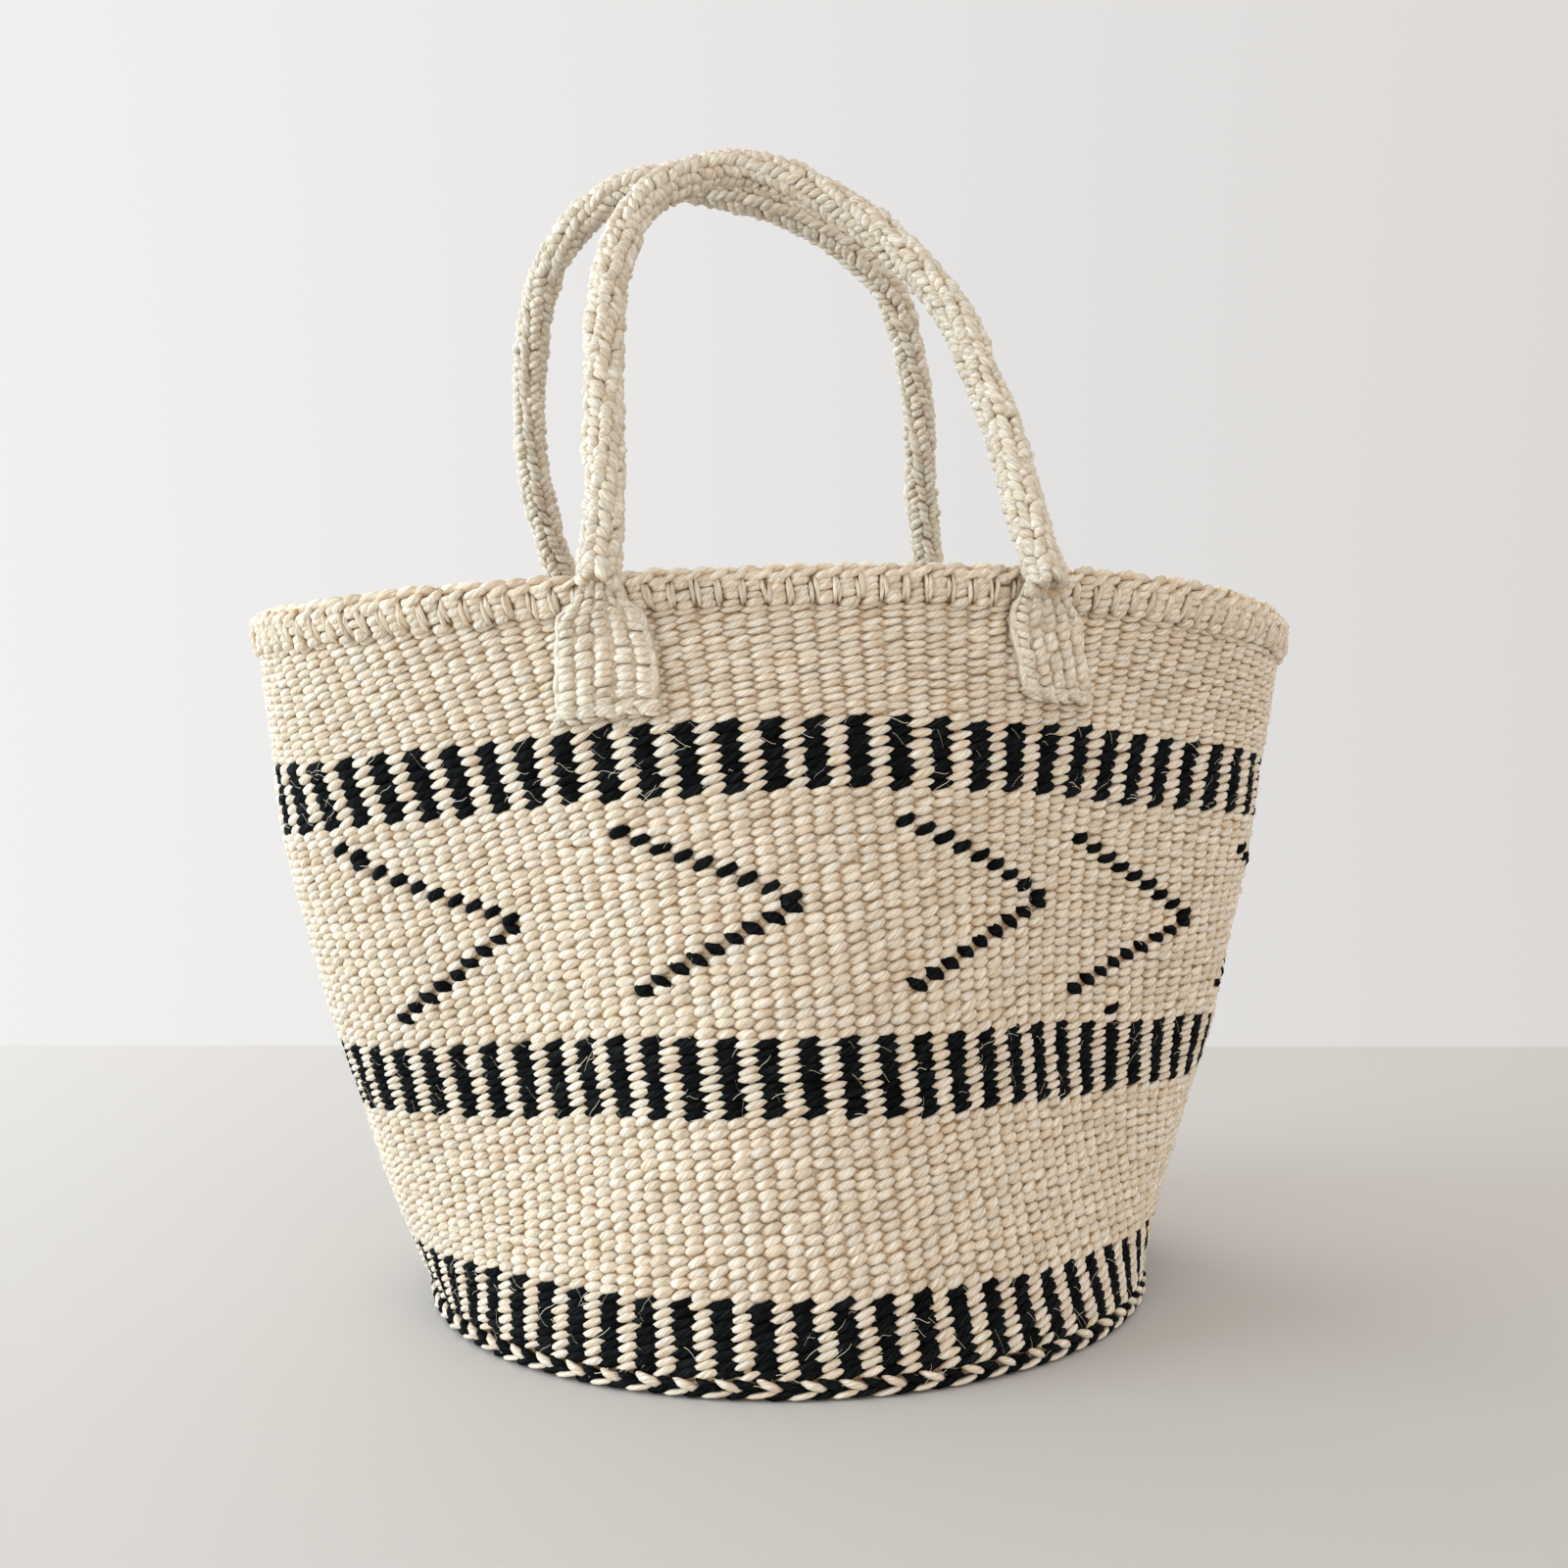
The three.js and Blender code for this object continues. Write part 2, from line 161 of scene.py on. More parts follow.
ROPE_RADIUS = 3.6
ROPE_STEPS = 90

# Tabs: height of the lower edge, how far it is sewn to the right of the pivot, widths at
# heights, and how much each rib's stitches slant. Then each tab's side, pivot and form.
LEFT_TAB = (
    195.5, 2.0,
    [(190, 32.5), (207, 30.5), (216, 27.5), (224, 24.5), (227.5, 18.5), (231, 14.5), (236, 14)],
    [0.45, 0.35, 0.25, -0.2, -0.6],
)
RIGHT_TAB = (
    199.8, 9.0,
    [(194, 24), (206, 24.4), (219, 23.5), (224.5, 19.5), (228, 16), (231, 14), (236, 14)],
    [-0.5, 0.9, 1.1, 1.0, 0.9],
)
TABS = {
    "front_left": (-1, -64.0, LEFT_TAB),
    "front_right": (-1, 67.0, RIGHT_TAB),
    "rear_left": (1, -73.0, LEFT_TAB),
    "rear_right": (1, 73.0, RIGHT_TAB),
}
TAB_THICK = 4.6
TAB_TOP = 233.0
TAB_PITCH = 2.7
RIBS = 5
TAB_STRANDS = 4
TAB_FAN = 7
TAB_HAIRS = 26

# Rim, by height
RIM_LEVELS = (223.8, 225.8, 227.8, 229.8, 231.4)
RIM_STRAND_HEIGHT = 227.4
RIM_STRAND_PLACES = (0.415, 0.59)
RIM_CORE_HEIGHT = 227.8
RIDGE_HEIGHT = 232.0
PLAIT_HEIGHT = 233.6

# Base: the spiral's edge and pitch, the height of its lower and upper side, and the foot's plait
BASE_OUTER = 116.0
BASE_PITCH = 2.9
BASE_LEVELS = {True: 1.35, False: 3.1}
SHORTEST_BASE_STITCH = 3.4
UPPER_EDGE_ROW = 4.3
LOWER_EDGE_ROW = 1.9

# Loose fibres: lowest and highest place, and how many
FIBRE_BANDS = [
    (4, 28, 420), (70, 98, 380), (163, 190, 400), (28, 70, 160), (95, 165, 260), (188, 222, 120),
]
DARK_FIBRES = 46
COLUMN_MM = 6.2


# Small helpers

def deselect():
    if bpy.context.mode != "OBJECT":
        bpy.ops.object.mode_set(mode="OBJECT")
    bpy.ops.object.select_all(action="DESELECT")


def edit_all():
    bpy.ops.object.mode_set(mode="EDIT")
    bpy.ops.mesh.select_all(action="SELECT")


def corners_of(mesh):
    return np.array([corner.co[:] for corner in mesh.vertices])


def move_corners(mesh, places):
    """Put the corners at places given in millimetres."""
    mesh.vertices.foreach_set("co", (places * MM).astype(np.float32).ravel())
    mesh.update()


def turned(vector):
    return Matrix.Rotation(-BAG_TURN, 3, "Z") @ Vector(vector)


def vary(size, spread, middle=0.0):
    return middle + chance.normal(0, spread, size).clip(-2.2 * spread, 2.2 * spread)


class Graph:
    """Adds nodes to one tree. An input is fed by a number, a tuple or another node's output."""

    def __init__(self, tree):
        self.nodes = tree.nodes
        self.links = tree.links

    def feed(self, socket, value):
        if isinstance(value, (int, float, tuple)):
            socket.default_value = value
        else:
            self.links.new(value, socket)

    def add(self, kind, inputs=None, **settings):
        node = self.nodes.new(f"ShaderNode{kind}")
        for name, value in settings.items():
            setattr(node, name, value)
        for key, value in (inputs or {}).items():
            self.feed(node.inputs[key], value)
        return node.outputs

    def maths(self, way, *values):
        return self.add("Math", dict(enumerate(values)), operation=way)[0]

    def mixed(self, share, first, second):
        return self.add("Mix", {0: share, 6: first, 7: second}, data_type="RGBA")[2]

    def ranged(self, value, low, high, top=1.0, way="LINEAR"):
        """The value's place between low and high, from 0 to top."""
        inputs = {"Value": value, "From Min": low, "From Max": high, "To Max": top}
        return self.add("MapRange", inputs, interpolation_type=way)[0]


# Camera, stage and lamps

def add_camera():
    deselect()
    bpy.ops.object.camera_add()
    camera = bpy.context.object
    camera.name = "photo_camera"
    ahead = Vector((0, math.cos(LOOK_DOWN), -math.sin(LOOK_DOWN)))
    level_up = Vector((0, math.sin(LOOK_DOWN), math.cos(LOOK_DOWN)))
    level_right = Vector((1, 0, 0))
    right = level_right * math.cos(LOOK_ROLL) + level_up * math.sin(LOOK_ROLL)
    up = level_up * math.cos(LOOK_ROLL) - level_right * math.sin(LOOK_ROLL)
    axes = [turned(right), turned(up), turned(-ahead)]
    place = Matrix(axes).transposed().to_4x4()
    place.translation = turned((EYE_ASIDE, -EYE_BACK, EYE_HEIGHT))
    camera.matrix_world = place
    camera.data.sensor_width = SENSOR_MM
    camera.data.lens = FOCAL_MM
    camera.data.clip_start = 0.01
    camera.data.clip_end = 50
    bpy.context.scene.camera = camera


def add_area(name, place, aim, size, watts, colour):
    deselect()
    bpy.ops.object.light_add(type="AREA", location=turned(place))
    lamp = bpy.context.object
    lamp.name = name
    lamp.data.shape = "RECTANGLE"
    lamp.data.size, lamp.data.size_y = size
    lamp.data.energy = watts
    lamp.data.color = colour
    way = turned(aim) - turned(place)
    lamp.rotation_euler = way.to_track_quat("-Z", "Y").to_euler()


def add_world():
    world = bpy.data.worlds.new("pale_room")
    bpy.context.scene.world = world
    world.use_nodes = True
    graph = Graph(world.node_tree)
    graph.nodes.clear()
    glow = graph.add("Background", {"Color": GLOW_COLOUR, "Strength": GLOW})[0]
    # The wall behind is a little brighter on the window's side
    sideways = graph.add("VectorMath", {
        0: graph.add("TexCoord")["Generated"], 1: tuple(turned((1, 0, 0))),
    }, operation="DOT_PRODUCT")["Value"]
    fall = graph.ranged(sideways, -BACKDROP_REACH, BACKDROP_REACH)
    backdrop = graph.add("Background", {
        "Color": graph.mixed(fall, BACKDROP_BRIGHT, BACKDROP_DARK),
    })[0]
    seen = graph.add("LightPath")["Is Camera Ray"]
    surface = graph.add("MixShader", {0: seen, 1: glow, 2: backdrop})[0]
    graph.add("OutputWorld", {"Surface": surface})


def add_floor():
    deselect()
    bpy.ops.mesh.primitive_plane_add(size=2, location=(0, 0, 0))
    floor = bpy.context.object
    floor.name = "pale_table"
    edit_all()
    bpy.ops.transform.resize(value=(*TABLE_HALF, 1), center_override=(0, 0, 0))
    bpy.ops.transform.translate(value=(0, TABLE_FORWARD, 0))
    bpy.ops.object.mode_set(mode="OBJECT")
    floor.data.transform(Matrix.Rotation(-BAG_TURN - TABLE_TURN, 4, "Z"))
    material = bpy.data.materials.new("pale table")
    material.use_nodes = True
    shader = material.node_tree.nodes["Principled BSDF"]
    shader.inputs["Base Color"].default_value = TABLE_COLOUR
    shader.inputs["Roughness"].default_value = 0.9
    floor.data.materials.append(material)


# Shape of the wall

def through_three(values, share):
    """Smooth curve through the values at the foot, at half height and at the rim."""
    base, middle, rim = values
    return (
        base * (share - 0.5) * (share - 1) * 2
        + middle * share * (1 - share) * 4
        + rim * share * (share - 0.5) * 2
    )


def wall_outline(height, angle):
    share = np.maximum(0, (height - EDGE_TOP) / (RIM_TOP - EDGE_TOP))
    half_x = through_three((BASE_RADIUS, MIDDLE_HALF[0], RIM_HALF[0]), share)
    half_y = through_three((BASE_RADIUS, MIDDLE_HALF[1], RIM_HALF[1]), share)
    draw_in = 1 + through_three(PINCH, share) * (np.cos(4 * angle) - 1)
    z = (
        height
        - through_three(SADDLE, share) * np.cos(2 * angle)
        + through_three(TILT, share) * np.cos(angle)
        + through_three(SKEW, share) * np.sin(2 * angle)
    )
    return np.stack([half_x * draw_in * np.cos(angle), half_y * draw_in * np.sin(angle), z], -1)


def waves(table, turn, height):
    return sum(
        size * np.sin(count * turn + height / reach + start)
        for size, count, reach, start in table
    )


def lay_grid():
    """Points and outward normals of the wall, for each height and each eighth of a column."""
    heights = np.arange(GRID_LOW, GRID_HIGH + GRID_STEP / 2, GRID_STEP)
    fine = np.linspace(-math.pi / 2, 1.5 * math.pi, FINE_STEPS + 1)
    steps = COLUMNS * PER_COLUMN
    shares = np.arange(steps) / steps
    points = np.zeros((len(heights), steps, 3))
    for level, height in enumerate(heights):
        outline = wall_outline(np.full_like(fine, height), fine)
        run = np.hypot(np.diff(outline[:, 0]), np.diff(outline[:, 1]))
        passed = np.concatenate([[0], np.cumsum(run)])
        wanted = (shares + np.interp(height, DRIFT_HEIGHTS, DRIFT_SHARES)) % 1.0
        angle = np.interp(wanted, passed / passed[-1], fine)
        points[level] = wall_outline(np.full_like(angle, height), angle)
    along = np.roll(points, -1, 1) - np.roll(points, 1, 1)
    up = np.gradient(points, axis=0)
    outward = np.cross(along, up)
    outward /= np.linalg.norm(outward, axis=-1, keepdims=True)
    # Less uneven towards the foot and the rim
    rise = heights[:, None]
    ease = np.clip((rise - 8) / 50, 0, 1) * np.clip((232 - rise) / 40, 0.15, 1)
    uneven = waves(UNEVEN, shares * 2 * math.pi, rise)
    return points + outward * (uneven * ease)[..., None], outward


WALL_POINTS, WALL_NORMALS = lay_grid()


def grid_look_up(grid, column, height):
    across = (column % COLUMNS) * PER_COLUMN
    up = np.clip((height - GRID_LOW) / GRID_STEP, 0, grid.shape[0] - 1.001)
    left = np.floor(across).astype(int)
    low = np.floor(up).astype(int)
    part = (across - left)[..., None]
    rise = (up - low)[..., None]
    left %= grid.shape[1]
    right = (left + 1) % grid.shape[1]
    lower = grid[low, left] * (1 - part) + grid[low, right] * part
    upper = grid[low + 1, left] * (1 - part) + grid[low + 1, right] * part
    return lower * (1 - rise) + upper * rise


def on_wall(column, height, lift):
    """Point at a column and height of the wall, lifted off its outer side."""
    ease = np.clip((height - 10) / 20, 0, 1) * np.clip((220 - height) / 20, 0, 1)
    level = height + waves(WANDER, column * (2 * math.pi / COLUMNS), height) * ease
    outward = grid_look_up(WALL_NORMALS, column, level)
    points = grid_look_up(WALL_POINTS, column, level) + outward * lift[..., None]
    points[..., 2] = np.maximum(points[..., 2], 0.0)
    return points


def column_at(x, height, face):
    """Column where the wall has the wanted x, on the front or the rear."""
    low = -28 if face < 0 else 36
    columns = np.arange(low, low + 57).astype(float)
    places = grid_look_up(WALL_POINTS, columns, np.full_like(columns, height))[:, 0]
    if face > 0:
        return float(np.interp(x, places[::-1], columns[::-1]))
    return float(np.interp(x, places, columns))


def column_width(column, height):
    sides = np.array([column - 0.5, column + 0.5])
    pair = grid_look_up(WALL_POINTS, sides, np.full_like(sides, height))
    return float(np.linalg.norm(pair[1] - pair[0]))


# Yarn shapes, modelled once and then laid in place many times

class Pattern:
    """Corners, faces and map of a modelled shape that is laid many times."""

    def __init__(self, piece):
        mesh = piece.data
        self.corners = corners_of(mesh)
        self.loops = np.array([loop.vertex_index for loop in mesh.loops])
        self.sizes = np.array([face.loop_total for face in mesh.polygons])
        self.starts = np.array([face.loop_start for face in mesh.polygons])
        layer = mesh.uv_layers.active
        if layer:
            self.places = np.array([item.uv[:] for item in layer.data])
        else:
            self.places = np.full((len(self.loops), 2), 0.5)
        bpy.data.objects.remove(piece)
        bpy.data.meshes.remove(mesh)

    def backwards(self):
        """The same faces seen from their other side."""
        order = np.concatenate([
            np.arange(start + size - 1, start - 1, -1)
            for start, size in zip(self.starts, self.sizes)
        ])
        return self.loops[order], self.places[order]


def select_corners(piece, test):
    shape = bmesh.from_edit_mesh(piece.data)
    for corner in shape.verts:
        corner.select = bool(test(corner.co))
    shape.select_flush_mode()
    bmesh.update_edit_mesh(piece.data)


def lay_own_map(piece):
    """Map that runs along the yarn and round it, with the seam underneath."""
    mesh = piece.data
    places = mesh.uv_layers.active.data
    for face in mesh.polygons:
        middle = math.atan2(face.center.y, face.center.z)
        for index in face.loop_indices:
            corner = mesh.vertices[mesh.loops[index].vertex_index].co
            turn = middle
            if math.hypot(corner.y, corner.z) > 0.01:
                step = math.atan2(corner.y, corner.z) - middle
                turn += (step + math.pi) % (2 * math.pi) - math.pi
            places[index].uv = (corner.x + 0.5, 0.5 + turn / (2 * math.pi))


def add_yarn_ball(sides, rings):
    """A sphere one unit across with its poles on X, left in edit mode."""
    deselect()
    bpy.ops.mesh.primitive_uv_sphere_add(segments=sides, ring_count=rings, radius=0.5)
    edit_all()
    bpy.ops.transform.rotate(value=math.pi / 2, orient_axis="Y", center_override=(0, 0, 0))
    return bpy.context.object


def resize_corners(piece, test, along, round_it):
    select_corners(piece, test)
    bpy.ops.transform.resize(value=(along, round_it, round_it), center_override=(0, 0, 0))


def finish_pattern(piece):
    bpy.ops.object.mode_set(mode="OBJECT")
    lay_own_map(piece)
    return Pattern(piece)


def model_stitch(sides, rings, fuller, pointed, blunt=None):
    """One stitch of yarn, one unit long on X, one wide on Y and one thick on Z."""
    piece = add_yarn_ball(sides, rings)
    resize_corners(piece, lambda co: 0.12 < abs(co.x) < 0.4, 1, fuller)
    resize_corners(piece, lambda co: 0.4 <= co.x < 0.49, 1, pointed)
    resize_corners(piece, lambda co: -0.49 < co.x <= -0.4, 1, blunt or pointed)
    return finish_pattern(piece)


def model_strand(sides, rings):
    """A thin straight strand with blunt ends, one unit long on X."""
    piece = add_yarn_ball(sides, rings)
    resize_corners(piece, lambda co: 0.12 < abs(co.x) < 0.49, 1.08, 1.2)
    return finish_pattern(piece)


def model_fibre():
    """A loose fibre, curled a little, one unit long on X."""
    deselect()
    bpy.ops.curve.primitive_bezier_curve_add(enter_editmode=False)
    piece = bpy.context.object
    ends = (
        ((-0.5, 0, 0), (-0.7, -0.1, 0), (-0.2, 0.22, 0.3)),
        ((0.5, 0, 0), (0.2, -0.16, 0.55), (0.7, 0.1, 0)),
    )
    for point, (place, before, after) in zip(piece.data.splines[0].bezier_points, ends):
        point.co, point.handle_left, point.handle_right = place, before, after
    piece.data.resolution_u = 6
    piece.data.bevel_depth = 0.01
    piece.data.bevel_resolution = 0
    piece.data.use_fill_caps = True
    deselect()
    piece.select_set(True)
    bpy.context.view_layer.objects.active = piece
    bpy.ops.object.convert(target="MESH")
    return Pattern(bpy.context.object)


WALL_STITCH = model_stitch(6, 6, 0.92, 0.6, 0.95)
LIGHT_STITCH = model_stitch(5, 5, 1.02, 0.85)
FAT_STITCH = model_stitch(8, 6, 1.06, 0.95)
STRAND = model_strand(5, 5)
FIBRE = model_fibre()


class Weave:
    """Collects laid shapes and makes one piece of them."""

    def __init__(self):
        self.corners = []
        self.loops = []
        self.sizes = []
        self.places = []
        self.count = 0

    def lay(self, pattern, surface, along, across, length, width, thick,
            rise=0.0, crown=0.0, dip=0.0, sway=0.0, tuck=0.0, inside_out=False):
        """Lay the pattern at each place, along and across in the surface's own measures.

        rise is how far it climbs over its length, crown the lift of its middle, dip how much
        deeper both ends lie, tuck how much one end does, and sway the height of its S-bend.
        """
        along, across, length, width, thick, rise, crown, dip, sway, tuck = np.broadcast_arrays(
            *(np.atleast_1d(np.asarray(value, float))[:, None] for value in
              (along, across, length, width, thick, rise, crown, dip, sway, tuck))
        )
        s, t, n = pattern.corners.T
        place_a = along + s * length
        place_b = across + t * width + rise * s + sway * np.sin(s * 2 * math.pi)
        lift = crown + n * thick - dip * (2 * s) ** 2 - tuck * 2 * s
        points = surface(place_a, place_b, lift)
        loops, places = (
            pattern.backwards() if inside_out else (pattern.loops, pattern.places)
        )
        stitches = len(along)
        start = self.count + np.arange(stitches)[:, None] * len(pattern.corners)
        self.corners.append(points.reshape(-1, 3))
        self.loops.append((loops[None, :] + start).ravel())
        self.sizes.append(np.tile(pattern.sizes, stitches))
        cell_x = chance.integers(0, MAP_CELLS[0], stitches)[:, None]
        cell_y = chance.integers(0, MAP_CELLS[1], stitches)[:, None]
        margin, inner = MAP_MARGIN, 1 - 2 * MAP_MARGIN
        u = (cell_x + margin + inner * places[None, :, 0]) / MAP_CELLS[0]
        v = (cell_y + margin + inner * places[None, :, 1]) / MAP_CELLS[1]
        self.places.append(np.stack([u, v], -1).reshape(-1, 2))
        self.count += stitches * len(pattern.corners)

    def make(self, name, material, slot, nodes=(), body="bag"):
        corners = np.concatenate(self.corners) * MM
        loops = np.concatenate(self.loops)
        sizes = np.concatenate(self.sizes)
        places = np.concatenate(self.places)
        mesh = bpy.data.meshes.new(name)
        mesh.vertices.add(len(corners))
        mesh.vertices.foreach_set("co", corners.astype(np.float32).ravel())
        mesh.loops.add(len(loops))
        mesh.loops.foreach_set("vertex_index", loops.astype(np.int32))
        mesh.polygons.add(len(sizes))
        starts = np.concatenate([[0], np.cumsum(sizes)[:-1]])
        mesh.polygons.foreach_set("loop_start", starts.astype(np.int32))
        mesh.polygons.foreach_set("use_smooth", np.ones(len(sizes), bool))
        mesh.update(calc_edges=True)
        layer = mesh.uv_layers.new(name=YARN_MAP)
        layer.data.foreach_set("uv", places.astype(np.float32).ravel())
        mesh.validate()
        mesh.materials.append(material)
        piece = bpy.data.objects.new(name, mesh)
        bpy.context.collection.objects.link(piece)
        if nodes:
            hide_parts(*nodes)
        if body:
            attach(piece, body)
        return piece


# Materials

def build_yarn_group():
    """Fibres along each stitch, a tint for each, and painted shade at tucked-in ends and creases.
    """
    colour, number, vector = "NodeSocketColor", "NodeSocketFloat", "NodeSocketVector"
    group = bpy.data.node_groups.new("twisted sisal yarn", "ShaderNodeTree")
    for way, label, kind in (
        ("INPUT", "Map", vector), ("INPUT", "Fibre", colour), ("INPUT", "Shade", colour),
        ("INPUT", "Bright Fibre", colour), ("INPUT", "Tint Spread", number),
        ("INPUT", "End Shade", number), ("INPUT", "Crease Shade", number),
        ("OUTPUT", "Color", colour), ("OUTPUT", "Roughness", number), ("OUTPUT", "Height", number),
    ):
        group.interface.new_socket(label, in_out=way, socket_type=kind)
    source = group.nodes.new("NodeGroupInput").outputs
    result = group.nodes.new("NodeGroupOutput").inputs
    graph = Graph(group)
    scaled = graph.add("VectorMath", {0: source["Map"], 1: (*MAP_CELLS, 1)}, operation="MULTIPLY")
    cell = graph.add("VectorMath", {0: scaled[0]}, operation="FLOOR")[0]
    inside = graph.add("VectorMath", {0: scaled[0]}, operation="FRACTION")[0]
    own = graph.add("TexWhiteNoise", {"Vector": cell}, noise_dimensions="3D")
    parts = graph.add("SeparateXYZ", {0: inside})
    long_share, round_share = parts[0], parts[1]

    # Fibres climb round the stitch as they run along it
    turned_round = graph.maths("MULTIPLY_ADD", long_share, -0.6, round_share)

    def streaks(along, round_it, apart, detail, roughness):
        place = graph.add("CombineXYZ", {
            0: graph.maths("MULTIPLY", long_share, along),
            1: graph.maths("MULTIPLY", turned_round, round_it),
            2: graph.maths("MULTIPLY", own["Value"], apart),
        })[0]
        return graph.add("TexNoise", {
            "Vector": place, "Scale": 1.0, "Detail": detail, "Roughness": roughness,
        })["Fac"]

    def off_middle(share):
        return graph.maths("ABSOLUTE", graph.maths("SUBTRACT", share, 0.5))

    fibres = streaks(2.2, 15.0, 40.0, 2.0, 0.6)
    plies = streaks(1.1, 5.0, 23.0, 1.0, 0.5)
    # Painted shade: darker towards the tucked-in ends and the creases between rows, where shade
    # falls, more on some stitches than others
    ends = graph.ranged(off_middle(long_share), 0.27, 0.46, way="SMOOTHSTEP")
    crease_shade_mask = graph.ranged(off_middle(round_share), 0.11, 0.25, way="SMOOTHSTEP")
    painted_shade = graph.maths(
        "MULTIPLY",
        graph.maths(
            "MAXIMUM", graph.maths("MULTIPLY", ends, source["End Shade"]),
            graph.maths("MULTIPLY", crease_shade_mask, source["Crease Shade"]),
        ),
        graph.maths("MULTIPLY_ADD", own["Value"], 0.8, 0.6),
    )
    # Painted shade in the hollows between fibres, where the relief sinks
    hollows = graph.ranged(fibres, 0.48, 0.32, top=0.5)
    hue = graph.add("SeparateXYZ", {0: own["Color"]})[1]
    warmer = graph.maths("MULTIPLY", graph.maths("POWER", hue, 3.0), 0.24)
    body = graph.mixed(
        graph.ranged(fibres, 0.48, 0.66), source["Fibre"], source["Bright Fibre"],
    )
    # Mixed towards the shade colour: painted shade in the fibre hollows and at ends and creases,
    # and a warmer tone some stitches have at random
    for share in (hollows, painted_shade, warmer):
        body = graph.mixed(share, body, source["Shade"])
    tint = graph.maths(
        "MULTIPLY_ADD", graph.maths("SUBTRACT", own["Value"], 0.5), source["Tint Spread"], 1.0,
    )
    tinted = graph.add("VectorMath", {0: body, "Scale": tint}, operation="SCALE")[0]
    graph.feed(result["Color"], tinted)
    graph.feed(result["Roughness"], graph.maths("MULTIPLY_ADD", fibres, -0.25, 0.86))
    fine = graph.maths("MULTIPLY", fibres, 0.55)
    graph.feed(result["Height"], graph.maths("MULTIPLY_ADD", plies, 0.8, fine))
    return group


YARN_GROUP = build_yarn_group()


def yarn_material(name, fibre, shade, bright, tint, ends, crease, sheen, bump, gloss=0.35):
    """Yarn of three colours; tint sets how stitches differ, ends and crease their painted shade.
    """
    material = bpy.data.materials.new(name)
    material.use_nodes = True
    graph = Graph(material.node_tree)
    yarn = graph.add("Group", {
        "Map": graph.add("UVMap", uv_map=YARN_MAP)[0],
        "Fibre": (*fibre, 1), "Shade": (*shade, 1), "Bright Fibre": (*bright, 1),
        "Tint Spread": tint, "End Shade": ends, "Crease Shade": crease,
    }, node_tree=YARN_GROUP)
    relief = graph.add("Bump", {
        "Strength": bump, "Distance": RELIEF_DEPTH, "Height": yarn["Height"],
    })[0]
    shader = graph.nodes["Principled BSDF"].inputs
    for label, value in (
        ("Base Color", yarn["Color"]), ("Roughness", yarn["Roughness"]), ("Normal", relief),
        ("Specular IOR Level", gloss), ("Sheen Weight", sheen), ("Sheen Roughness", 0.45),
    ):
        graph.feed(shader[label], value)
    return material


# After the fibre colour: the painted shade's colour, which some stitches also take as a warmer
# tone, the bright fibre colour, tint spread, painted shade at the ends, painted shade in the
# creases, sheen, bump and, where it differs, gloss
NATURAL = yarn_material(
    "natural sisal yarn", (0.695, 0.61, 0.488), (0.50, 0.31, 0.12), (0.87, 0.845, 0.79),
    0.14, 0.5, 0.42, 0.15, 0.85,
)
RIM_NATURAL = yarn_material(
    "natural sisal cord", (0.69, 0.60, 0.47), (0.46, 0.28, 0.11), (0.88, 0.85, 0.79),
    0.16, 0.65, 0.32, 0.15, 1.0,
)
PALE = yarn_material(
    "pale sisal yarn", (0.635, 0.568, 0.465), (0.44, 0.30, 0.15), (0.80, 0.77, 0.705),
    0.16, 0.85, 0.5, 0.15, 0.95,
)
TAB_PALE = yarn_material(
    "pale sisal tab yarn", (0.72, 0.645, 0.525), (0.48, 0.34, 0.19), (0.87, 0.84, 0.78),
    0.14, 0.55, 0.45, 0.15, 1.0,
)
BLACK = yarn_material(
    "black sisal yarn", (0.003, 0.0035, 0.004), (0.001, 0.001, 0.001), (0.014, 0.016, 0.016),
    0.8, 0.5, 0.5, 0.0, 1.0, 0.04,
)
# The warp cords' own tone, made browner than the yarn so that it shows through the gaps between
# stitches as painted shade
WARP = yarn_material(
    "warp cord", (0.42, 0.29, 0.16), (0.28, 0.18, 0.09), (0.5, 0.38, 0.24),
    0.1, 0.2, 0.2, 0.0, 0.4,
)
LOOSE = yarn_material(
    "loose sisal fibre", (0.78, 0.72, 0.58), (0.6, 0.5, 0.36), (0.88, 0.84, 0.74),
    0.3, 0.1, 0.1, 0.2, 0.1,
)
DARK_LOOSE = yarn_material(
    "loose black fibre", (0.03, 0.028, 0.026), (0.01, 0.01, 0.01), (0.08, 0.075, 0.07),
    0.3, 0.1, 0.1, 0.1, 0.1,
)


# Twined wall

def row_levels(name):
    """Height and pitch of each row of a zone."""
    bottom, top, rows = ZONES[name][:3]
    weights = np.ones(rows)
    if name == "chevron_wall":
        weights[: rows // 2] = 1.05
        weights[rows // 2:] = 0.95
    edges = np.concatenate([[0], np.cumsum(weights)]) / weights.sum()
    middles = (edges[:-1] + edges[1:]) / 2
    return bottom + (top - bottom) * middles, (top - bottom) * np.diff(edges)


def black_cells(name):
    """Which stitches of a zone are black, and which of those lean back, as rows by columns."""
    rows, striped = ZONES[name][2:]
    black = np.zeros((rows, COLUMNS), bool)
    leaning_back = np.zeros_like(black)
    if striped:
        black[:, ::2] = True
    if name == "chevron_wall":
        for tip, row in CHEVRON_TIPS:
            for step in range(CHEVRON_ARM):
                black[rows - 1 - (row - step), (tip - step) % COLUMNS] = True
                leaning_back[rows - 1 - (row + 1 + step), (tip - step) % COLUMNS] = True
        black |= leaning_back
        for column, row in STRAY_BLACKS:
            black[rows - 1 - row, column % COLUMNS] = True
    return black, leaning_back


